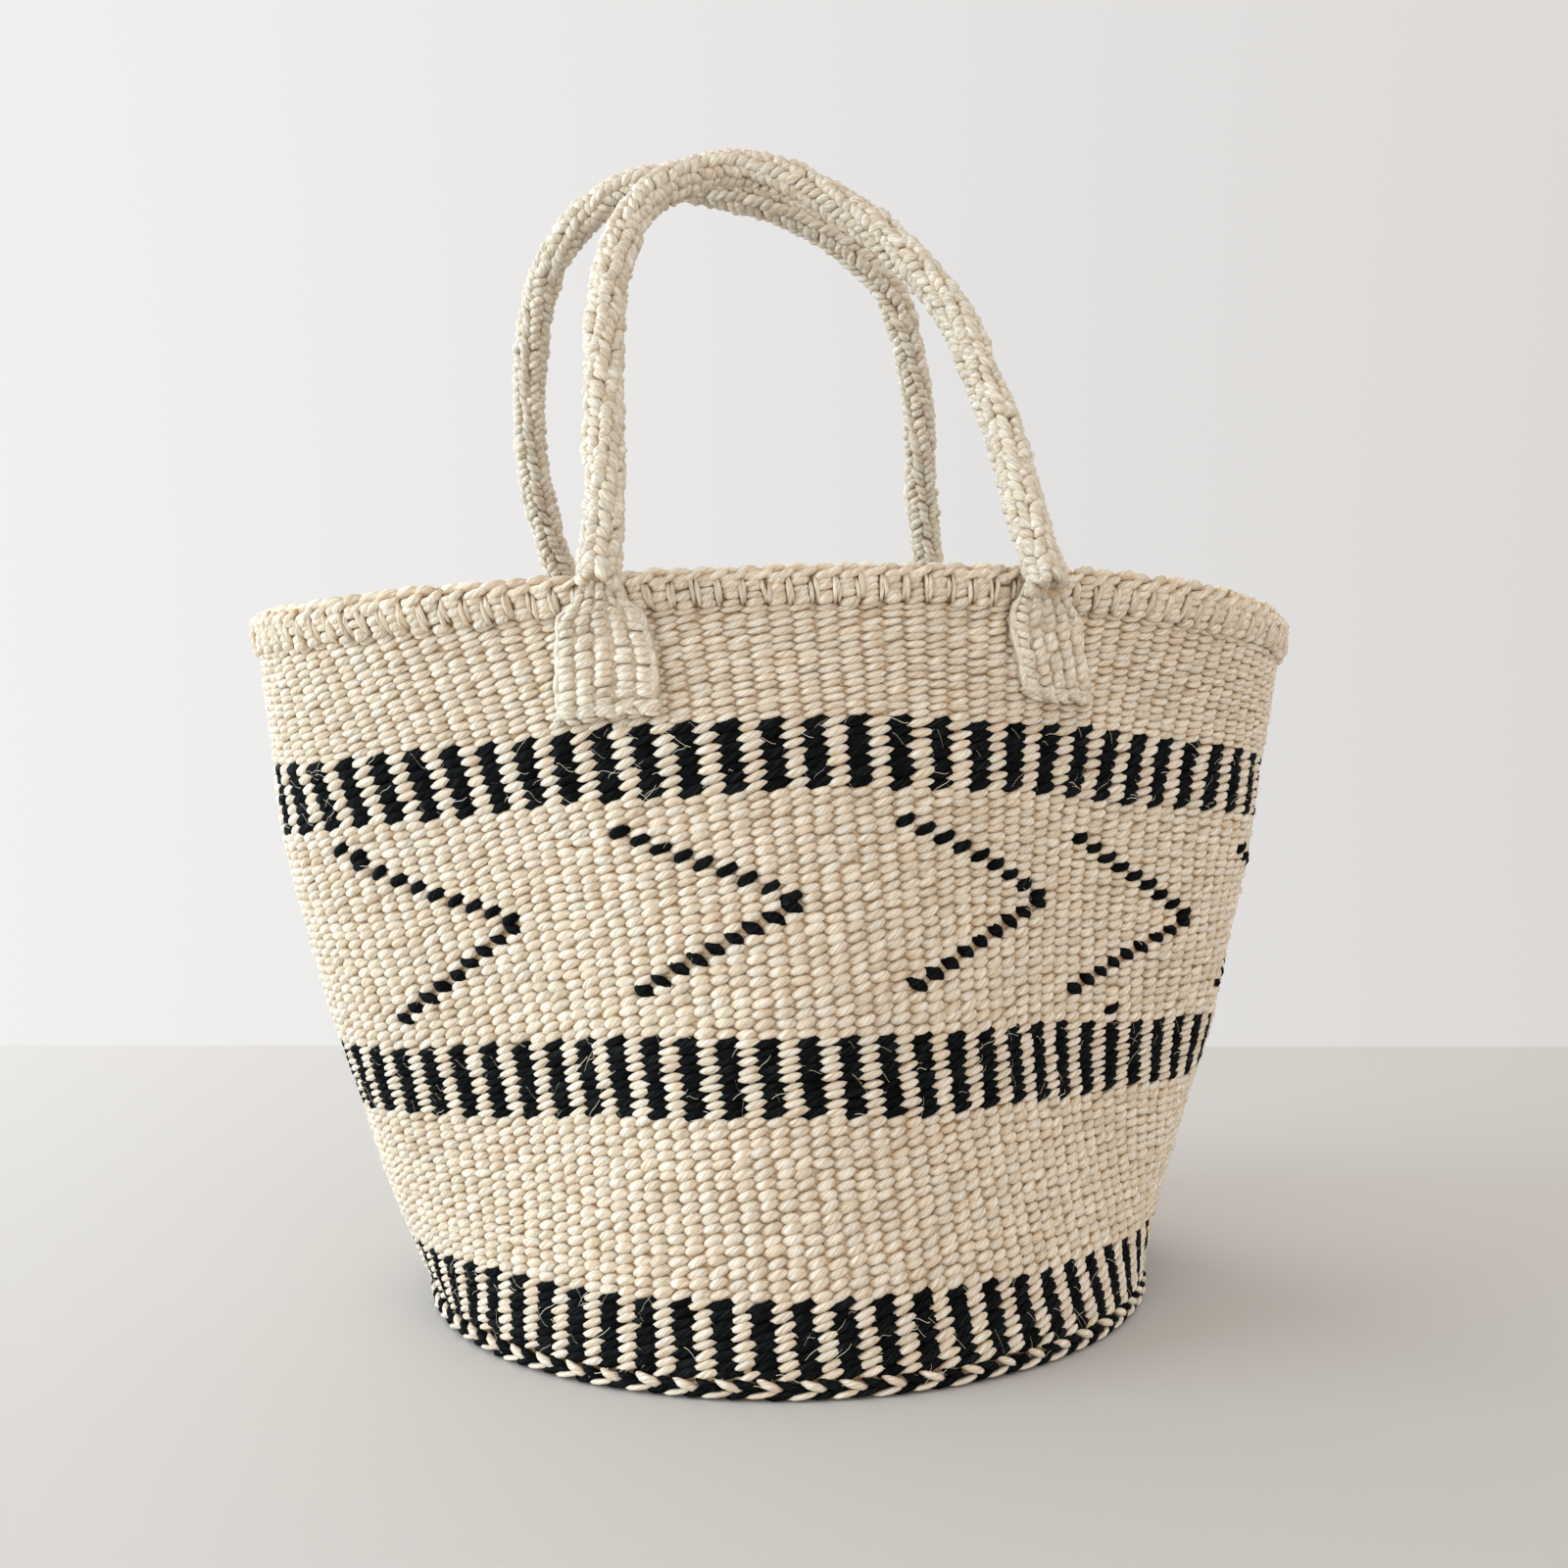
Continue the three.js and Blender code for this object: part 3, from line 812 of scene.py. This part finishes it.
def lay_inside_rows(weave, name, wanted):
    levels, pitches = row_levels(name)
    rows, columns = np.nonzero(wanted)
    many = len(rows)
    pitch = pitches[rows]
    weave.lay(
        LIGHT_STITCH, on_wall, columns + vary(many, 0.03), levels[rows] + vary(many, 0.15),
        1.62, pitch * 1.2, -2.6, rise=-pitch * (0.7 + vary(many, 0.15)),
        crown=-WALL_THICK + 1.15, dip=-1.1, inside_out=True,
    )


# Stitches of the wall: form, length in columns, climb and width in rows, thickness, crown, dip
# and tuck
WALL_STYLES = {
    "plain": (WALL_STITCH, 1.28, 0.6, 1.22, 3.4, -1.3, 1.25, 0.2),
    "band": (WALL_STITCH, 1.56, 0.8, 1.1, 3.4, -1.2, 1.0, 0.1),
    "black band": (WALL_STITCH, 1.85, 0.8, 1.42, 3.2, -1.45, 0.8, 0.2),
    "upper arm": (FAT_STITCH, 1.14, 0.8, 1.35, 3.4, -0.9, 1.0, 0.0),
    "lower arm": (FAT_STITCH, 1.14, -0.8, 1.35, 3.4, -0.9, 1.0, 0.0),
}


def lay_wall_rows(weave, name, wanted, style="plain"):
    """Outer stitches of a zone: each leaf climbs to the right and tucks its ends under."""
    pattern, length, rise, width, thick, crown, dip, tuck = WALL_STYLES[style]
    if name == "lower_stripe_band":
        rise *= 1.3
    levels, pitches = row_levels(name)
    rows, columns = np.nonzero(wanted)
    many = len(rows)
    pitch = pitches[rows]
    weave.lay(
        pattern, on_wall, columns + vary(many, 0.04), levels[rows] + vary(many, 0.17),
        length + vary(many, 0.06), pitch * (width + vary(many, 0.08)), thick + vary(many, 0.2),
        rise=pitch * (rise + vary(many, 0.2)), crown=crown + vary(many, 0.14),
        dip=dip + vary(many, 0.12), sway=pitch * 0.05, tuck=tuck,
    )


def build_wall():
    for name, zone in ZONES.items():
        striped = zone[3]
        black, leaning_back = black_cells(name)
        outside = Weave()
        if striped:
            lay_wall_rows(outside, name, ~black, "band")
            lay_inside_rows(outside, name, black)
            outside.make(f"{name}_natural", NATURAL, "natural_sisal", [name])
        else:
            lay_wall_rows(outside, name, ~black)
            outside.make(f"{name}_outside", NATURAL, "natural_sisal", [name])
            inside = Weave()
            lay_inside_rows(inside, name, np.ones_like(black))
            inside.make(f"{name}_inside", NATURAL, "natural_sisal", [name])
        if black.any():
            dark = Weave()
            if striped:
                lay_wall_rows(dark, name, black, "black band")
                lay_inside_rows(dark, name, ~black)
            else:
                lay_wall_rows(dark, name, black & ~leaning_back, "upper arm")
                lay_wall_rows(dark, name, leaning_back, "lower arm")
            dark.make(f"{name}_black", BLACK, "black_sisal", [name])


def build_warps():
    """The upright cords inside the wall, as one ridged sheet."""
    deselect()
    bpy.ops.mesh.primitive_grid_add(x_subdivisions=COLUMNS * 2, y_subdivisions=44, size=2)
    piece = bpy.context.object
    piece.name = "wall_warps"
    mesh = piece.data
    corners = corners_of(mesh)
    column = (corners[:, 0] + 1) / 2 * COLUMNS
    height = 3.0 + (corners[:, 1] + 1) / 2 * (WALL_TOP - 2.0)
    mesh.uv_layers.active.name = YARN_MAP
    move_corners(mesh, on_wall(column, height, -2.1 + 0.35 * np.cos(column * 2 * math.pi)))
    edit_all()
    bpy.ops.mesh.remove_doubles(threshold=0.00002)
    bpy.ops.mesh.normals_make_consistent(inside=False)
    bpy.ops.object.mode_set(mode="OBJECT")
    wall = piece.modifiers.new("thickness", "SOLIDIFY")
    wall.thickness = 1.1 * MM
    wall.offset = -1
    bpy.ops.object.modifier_apply(modifier=wall.name)
    bpy.ops.object.shade_smooth()
    # Painted shade: the sheet's brown shows through the gaps between stitches
    mesh.materials.append(WARP)
    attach(piece, "bag")


# Base

def on_base(under):
    """The base's lower or upper side, by turn and radius."""
    direction = -1 if under else 1

    def surface(turn, radius, lift):
        level = BASE_LEVELS[under] + direction * lift
        return np.stack([radius * np.cos(turn), radius * np.sin(turn), level], -1)
    return surface


def build_base():
    for under in (True, False):
        weave = Weave()
        radius = BASE_OUTER - BASE_PITCH / 2
        while radius > 2:
            # Fewer stitches to a round towards the middle
            count = COLUMNS
            while radius * 2 * math.pi / count < SHORTEST_BASE_STITCH and count > 8:
                count //= 2
            turn = (np.arange(count) + radius * 0.02) * 2 * math.pi / count
            step = 2 * math.pi / count
            weave.lay(
                LIGHT_STITCH, on_base(under), turn + vary(count, 0.04) * step,
                radius + vary(count, 0.12), step * 1.34, BASE_PITCH * 1.2, 2.3,
                rise=BASE_PITCH * (0.7 + vary(count, 0.12)), crown=0.12, dip=1.1,
                inside_out=not under,
            )
            radius -= BASE_PITCH
        weave.make(
            "base_disc_underside" if under else "base_disc_inside",
            NATURAL, "natural_sisal", ["base_disc"],
        )
    deselect()
    bpy.ops.mesh.primitive_cylinder_add(
        vertices=96, radius=0.1175, depth=0.0014, location=(0, 0, 0.0022), end_fill_type="TRIFAN",
    )
    core = bpy.context.object
    core.name = "base_warps"
    edit_all()
    bpy.ops.mesh.normals_make_consistent(inside=False)
    bpy.ops.object.mode_set(mode="OBJECT")
    bpy.ops.object.transform_apply(location=True, rotation=True, scale=True)
    core.data.uv_layers.active.name = YARN_MAP
    # Painted shade: its brown shows through the gaps in the base
    core.data.materials.append(WARP)
    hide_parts("base_disc")
    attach(core, "bag")


def build_edge_plait():
    """Two slanting rows that meet in a herringbone, light and dark in turn."""
    for dark in (False, True):
        weave = Weave()
        column = np.arange(0, COLUMNS, 2) + (1.0 if dark else 0.0)
        many = len(column)
        weave.lay(
            FAT_STITCH, on_wall, column + vary(many, 0.07),
            UPPER_EDGE_ROW + vary(many, 0.15), 1.35 + vary(many, 0.08), 2.7 + vary(many, 0.2),
            3.2, rise=-2.6 + vary(many, 0.3), crown=-0.1, dip=1.2,
        )
        weave.lay(
            FAT_STITCH, on_wall, column - 0.5 + vary(many, 0.06),
            LOWER_EDGE_ROW + vary(many, 0.12), 1.7 + vary(many, 0.1),
            (2.6 if dark else 1.6) + vary(many, 0.12), 2.6, rise=1.9 + vary(many, 0.25),
            crown=-0.45 if dark else 0.1, dip=1.2,
        )
        weave.lay(
            LIGHT_STITCH, on_wall, column + 0.2, np.full(many, 3.6), 1.7, 3.6, 3.6,
            crown=-3.6, dip=0.3,
        )
        name = "base_edge_plait_black" if dark else "base_edge_plait_natural"
        material, slot = (BLACK, "black_sisal") if dark else (NATURAL, "natural_sisal")
        weave.make(name, material, slot, ["base_edge_plait"])


# Rim

def build_rim():
    middle = -WALL_THICK / 2
    column = np.arange(COLUMNS).astype(float)
    many = len(column)
    rows = Weave()
    for level in RIM_LEVELS:
        for side in (1, -1):
            rows.lay(
                FAT_STITCH, on_wall, column + vary(many, 0.03), level + vary(many, 0.3),
                0.95 + vary(many, 0.07), 2.9 + vary(many, 0.35), side * 3.3,
                rise=side * (1.1 + vary(many, 0.45)),
                crown=middle + side * (2.85 + vary(many, 0.2)), dip=side * 1.3,
                inside_out=side < 0,
            )
    rows.make("rim_binding_bundles", RIM_NATURAL, "natural_sisal", ["rim_binding"])

    def upright(height, across, lift):
        return on_wall(across, height, lift)

    strands = Weave()
    for side in (1, -1):
        for place in RIM_STRAND_PLACES:
            lean = vary(many, 0.07, 0.03)
            strands.lay(
                STRAND, upright, RIM_STRAND_HEIGHT + vary(many, 0.5),
                column + place + vary(many, 0.03), 8.6 + vary(many, 0.8),
                0.2 + vary(many, 0.02), side * 2.0, rise=lean,
                crown=middle + side * (3.9 + vary(many, 0.25)), dip=side * 1.4,
                sway=vary(many, 0.02), inside_out=side > 0,
            )
    strands.make("rim_binding_strands", RIM_NATURAL, "natural_sisal", ["rim_binding"])

    ridge = Weave()
    for side in (1, -1):
        ridge.lay(
            FAT_STITCH, on_wall, column + 0.3 * side + vary(many, 0.1),
            RIDGE_HEIGHT + vary(many, 0.25), 1.18 + vary(many, 0.12), 2.7 + vary(many, 0.25),
            side * 3.7, rise=side * (3.0 + vary(many, 0.5)),
            crown=middle + side * (2.7 + vary(many, 0.2)), dip=side * 1.1, inside_out=side < 0,
        )

    def over_rim(column, across, lift):
        return on_wall(column, PLAIT_HEIGHT + lift, middle - across)

    ridge.lay(
        FAT_STITCH, over_rim, column + vary(many, 0.1), vary(many, 0.2),
        1.22 + vary(many, 0.1), 4.2 + vary(many, 0.3), 3.3, rise=2.2 + vary(many, 0.5),
        crown=vary(many, 0.25), dip=0.5,
    )
    ridge.make("rim_border_plait_strands", RIM_NATURAL, "natural_sisal", ["rim_border_plait"])

    # Gathered warp ends under the binding
    deselect()
    bpy.ops.mesh.primitive_torus_add(
        major_segments=256, minor_segments=8, major_radius=1, minor_radius=0.25,
    )
    core = bpy.context.object
    core.name = "rim_warp_ends"
    x, y, z = corners_of(core.data).T
    turn = np.arctan2(y, x) / (2 * math.pi) * COLUMNS
    away = np.hypot(x, y) - 1
    move_corners(core.data, on_wall(turn, RIM_CORE_HEIGHT + z * 21, middle + away * 9))
    bpy.ops.object.shade_smooth()
    core.data.uv_layers.active.name = YARN_MAP
    # Painted shade: its brown shows as holes through the gaps in the binding
    core.data.materials.append(WARP)
    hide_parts("rim_core")
    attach(core, "bag")


# Handles

def smooth_path(shares, left, right, rise):
    """Evenly spaced points on the centre line of a handle, before it leans."""
    points = np.array([(x * (left if x < 0 else right), y * rise) for x, y in shares], float)
    points = np.vstack([2 * points[0] - points[1], points, 2 * points[-1] - points[-2]])
    found = []
    for p0, p1, p2, p3 in zip(points[:-3], points[1:-2], points[2:-1], points[3:]):
        d0, d1, d2 = (math.sqrt(np.linalg.norm(b - a)) for a, b in ((p0, p1), (p1, p2), (p2, p3)))
        t1 = ((p1 - p0) / d0 - (p2 - p0) / (d0 + d1) + (p2 - p1) / d1) * d1
        t2 = ((p2 - p1) / d1 - (p3 - p1) / (d1 + d2) + (p3 - p2) / d2) * d1
        for part in np.arange(PATH_STEPS) / PATH_STEPS:
            found.append(
                p1 + t1 * part + (-3 * p1 + 3 * p2 - 2 * t1 - t2) * part ** 2
                + (2 * p1 - 2 * p2 + t1 + t2) * part ** 3
            )
    found.append(points[-2])
    path = np.array(found)
    start, end = path[0] - path[1], path[-1] - path[-2]
    start = path[0] + start / np.linalg.norm(start) * HANDLE_ROOT
    end = path[-1] + end / np.linalg.norm(end) * HANDLE_ROOT
    path = np.vstack([start, path, end])
    passed = np.concatenate([[0], np.cumsum(np.linalg.norm(np.diff(path, axis=0), axis=1))])
    return path, passed


def along_handle(face, shares, left, right, rise):
    path, passed = smooth_path(shares, left, right, rise)
    heading = np.gradient(path, axis=0)
    heading /= np.linalg.norm(heading, axis=1, keepdims=True)

    def surface(turn, travel, lift):
        x = np.interp(travel, passed, path[:, 0])
        z = np.interp(travel, passed, path[:, 1])
        go_x = np.interp(travel, passed, heading[:, 0])
        go_z = np.interp(travel, passed, heading[:, 1])
        out = (HANDLE_RADIUS + lift) * np.cos(turn)
        y = (HANDLE_RADIUS + lift) * np.sin(turn)
        up = z + go_x * out
        lean = face * HANDLE_LEAN
        return np.stack([
            x - go_z * out,
            face * HINGE_Y + y * math.cos(lean) - up * math.sin(lean),
            HINGE_Z + y * math.sin(lean) + up * math.cos(lean),
        ], -1)
    return surface, passed[-1]


def build_handle(name, face, shares, left, right, rise):
    surface, length = along_handle(face, shares, left, right, rise)
    weave = Weave()
    rows = int((length - 2) / BRAID_PITCH)
    row, column = np.meshgrid(np.arange(rows), np.arange(BRAID_COLUMNS), indexing="ij")
    row, column = row.ravel(), column.ravel()
    many = len(row)
    travel = BRAID_START + (row + 0.5 + 0.5 * (column % 2)) * BRAID_PITCH
    step = 2 * math.pi / BRAID_COLUMNS
    twist = travel / BRAID_TURN * 2 * math.pi * face + 0.3 * np.sin(travel / 27)
    turn = column * step + twist
    leaning = np.where(column % 2 == 0, 1.0, -1.0)
    lumps = 0.25 * np.sin(travel / 9 + column) + 0.2 * np.sin(travel / 5.3 - column * 1.7)
    weave.lay(
        FAT_STITCH, surface, turn + vary(many, 0.07), travel + vary(many, 0.35),
        step * (1.5 + vary(many, 0.1)), BRAID_PITCH * (1.32 + vary(many, 0.13)),
        4.2 + vary(many, 0.35), rise=leaning * BRAID_PITCH * (0.95 + vary(many, 0.2)),
        crown=-1.5 + lumps + vary(many, 0.25), dip=1.0 + vary(many, 0.1), inside_out=True,
    )
    braid = weave.make(
        f"{name}_handle_braid", PALE, "pale_sisal", [f"{name}_handle_sleeve"], body=None,
    )
    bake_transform(braid)

    # Rope inside the braid
    deselect()
    bpy.ops.mesh.primitive_cylinder_add(vertices=10, radius=0.5, depth=1, end_fill_type="TRIFAN")
    rope = bpy.context.object
    rope.name = f"{name}_handle_rope"
    bpy.ops.object.mode_set(mode="EDIT")
    bpy.ops.mesh.select_all(action="DESELECT")
    shape = bmesh.from_edit_mesh(rope.data)
    upright = [edge for edge in shape.edges if abs(edge.verts[0].co.z - edge.verts[1].co.z) > 0.5]
    bmesh.ops.subdivide_edges(shape, edges=upright, cuts=ROPE_STEPS - 1)
    bmesh.update_edit_mesh(rope.data)
    bpy.ops.object.mode_set(mode="OBJECT")
    x, y, z = corners_of(rope.data).T
    travel = 3 + (z + 0.5) * (length - 6)
    lift = np.hypot(x, y) / 0.5 * ROPE_RADIUS - HANDLE_RADIUS
    move_corners(rope.data, surface(-np.arctan2(y, x), travel, lift))
    bpy.ops.object.shade_smooth()
    rope.data.uv_layers.active.name = YARN_MAP
    rope.data.materials.append(RIM_NATURAL)
    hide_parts(f"{name}_handle_core")
    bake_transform(rope)


# Tabs

def tab_surface(face, x, bottom, shift, widths):
    """The wall's side that a tab is sewn to, which turns into the handle's neck at the top."""
    heights = np.arange(180.0, 241.0, 2.0)
    shifts = shift * np.clip((TAB_TOP - heights) / (TAB_TOP - bottom), 0, 1.1)
    centres = np.array([column_at(x + aside, h, face) for aside, h in zip(shifts, heights)])
    spans = np.array([column_width(c, h) for c, h in zip(centres, heights)])
    width_heights, width_values = zip(*widths)

    def surface(across, height, lift):
        centre = np.interp(height, heights, centres)
        span = np.interp(height, heights, spans)
        half = np.interp(height, width_heights, width_values) / 2
        # Columns count up towards +X in front and towards -X at the rear
        column = centre - face * across * half / span
        climb = np.clip((height - 216.5) / 4.5, 0, 1)
        stand_off = 0.3 + 2.3 * climb * climb * (3 - 2 * climb)
        rounding = np.clip(np.abs(across) - 0.55, 0, None) ** 2 * 5.5
        flat = on_wall(column, height, stand_off + TAB_THICK - rounding + lift)
        turn = across * math.radians(80)
        away = HANDLE_RADIUS + 0.6 + lift
        neck = np.stack([
            x + away * np.sin(turn),
            face * (HINGE_Y + (HINGE_Z - height) * 0.25) + face * away * np.cos(turn),
            height + 0 * turn,
        ], -1)
        share = np.clip((height - 223) / 14, 0, 1)[..., None]
        return flat * (1 - share) + neck * share
    return surface


def build_tab(name, face, x, tab):
    bottom, shift, widths, slants = tab
    surface = tab_surface(face, x, bottom, shift, widths)
    rear = face > 0
    weave = Weave()
    pitch = TAB_PITCH
    rows = int((TAB_TOP + 0.5 - bottom) / pitch)
    row, rib = np.meshgrid(np.arange(rows), np.arange(RIBS), indexing="ij")
    row, rib = row.ravel(), rib.ravel()
    many = len(row)
    gap = 2.0 / RIBS
    across = (rib - (RIBS - 1) / 2) * gap
    level = bottom + (row + 0.5 + 0.35 * (rib % 2)) * pitch
    weave.lay(
        FAT_STITCH, surface, across + vary(many, 0.018), level + vary(many, 0.25),
        gap * (1.15 + vary(many, 0.07)), pitch * (1.2 + vary(many, 0.12)), 3.4 + vary(many, 0.3),
        rise=pitch * (np.array(slants)[rib] + vary(many, 0.15)), crown=-1.3 + vary(many, 0.2),
        dip=1.7, inside_out=rear,
    )
    # Edge strands, and the solid back that the ribs sit on
    levels = bottom + (np.arange(0, rows, 2) + 1.0) * pitch
    count = len(levels)
    for side in (-1, 1):
        weave.lay(
            STRAND, lambda height, place, lift: surface(place, height, lift),
            levels + vary(count, 0.4), side * (0.97 + vary(count, 0.02)),
            8.0 + vary(count, 0.4), 0.18, 2.4, rise=vary(count, 0.06), crown=-1.7, dip=0.5,
            inside_out=not rear,
        )
    for place in (-0.62, 0.0, 0.62):
        weave.lay(
            LIGHT_STITCH, surface, np.full(count, place), levels, 0.95, 9.0, 2.9, crown=-3.1,
            inside_out=rear,
        )
    weave.make(f"{name}_tab_ribs", TAB_PALE, "pale_sisal", [f"{name}_tab"])

    loops = Weave()
    rib = np.arange(RIBS)
    across = (rib - (RIBS - 1) / 2) * gap
    loops.lay(
        FAT_STITCH, surface, across + vary(RIBS, 0.03), bottom - 1.6 + vary(RIBS, 0.35),
        gap * 1.3, 4.4 + vary(RIBS, 0.4), 5.0, rise=1.4 + vary(RIBS, 0.9), crown=-1.9, dip=1.2,
        inside_out=rear,
    )
    # Fanned strands wound round the end of each rib
    for strand in range(TAB_STRANDS):
        loops.lay(
            STRAND, surface, across + (strand - 1.5) * 0.05 + vary(RIBS, 0.03),
            bottom - 0.6 - strand * 1.05 + vary(RIBS, 0.25), gap * (1.25 - 0.12 * strand), 1.5,
            2.8, rise=1.9 - strand * 0.9 + vary(RIBS, 0.5), crown=-0.9 - strand * 0.12, dip=1.7,
            inside_out=rear,
        )
    # Fan of strands at the left edge
    fan = TAB_FAN
    loops.lay(
        STRAND, surface, -0.86 + np.arange(fan) * 0.035 + vary(fan, 0.02),
        bottom - 0.8 + vary(fan, 0.4), 0.5 + vary(fan, 0.05), 1.5, 2.6,
        rise=np.linspace(4.5, -2.5, fan) + vary(fan, 0.4), crown=-0.5 + vary(fan, 0.15), dip=1.5,
        inside_out=rear,
    )
    hairs = TAB_HAIRS
    loops.lay(
        FIBRE, surface, chance.uniform(-1, 1, hairs), bottom + chance.uniform(-4, 5, hairs),
        chance.uniform(0.15, 0.6, hairs), 6.0, 3.0, rise=chance.uniform(-6, 6, hairs), crown=0.5,
        inside_out=rear,
    )
    loops.make(f"{name}_tab_loops", TAB_PALE, "pale_sisal", [f"{name}_tab_end_loops"])


# Loose fibres

def build_fibres():
    light, dark = Weave(), Weave()
    for low, high, many in FIBRE_BANDS:
        column = chance.uniform(0, COLUMNS, many)
        height = chance.uniform(low, high, many)
        size = chance.uniform(3.5, 10, many)
        light.lay(
            FIBRE, on_wall, column, height, size / COLUMN_MM * chance.uniform(0.15, 1, many),
            size * 0.9, size * 0.35, rise=size * chance.uniform(-0.9, 0.9, many), crown=0.35,
        )
    many = DARK_FIBRES
    column = chance.uniform(0, COLUMNS, many)
    size = chance.uniform(3, 8, many)
    dark.lay(
        FIBRE, on_wall, column, chance.uniform(60, 180, many),
        size / COLUMN_MM * chance.uniform(0.15, 1, many), size * 0.9, size * 0.3,
        rise=size * chance.uniform(-0.9, 0.9, many), crown=0.35,
    )
    light.make("loose_fibres_light", LOOSE, "natural_sisal")
    dark.make("loose_fibres_dark", DARK_LOOSE, "black_sisal")


add_camera()
add_world()
add_floor()
for lamp_name, lamp in LAMPS.items():
    add_area(lamp_name, *lamp)

build_wall()
build_warps()
build_base()
build_edge_plait()
build_rim()
for handle_name, handle_shape in HANDLES.items():
    build_handle(handle_name, *handle_shape)
for tab_name, tab in TABS.items():
    build_tab(tab_name, *tab)
build_fibres()

bpy.context.scene.view_settings.view_transform = "Standard"
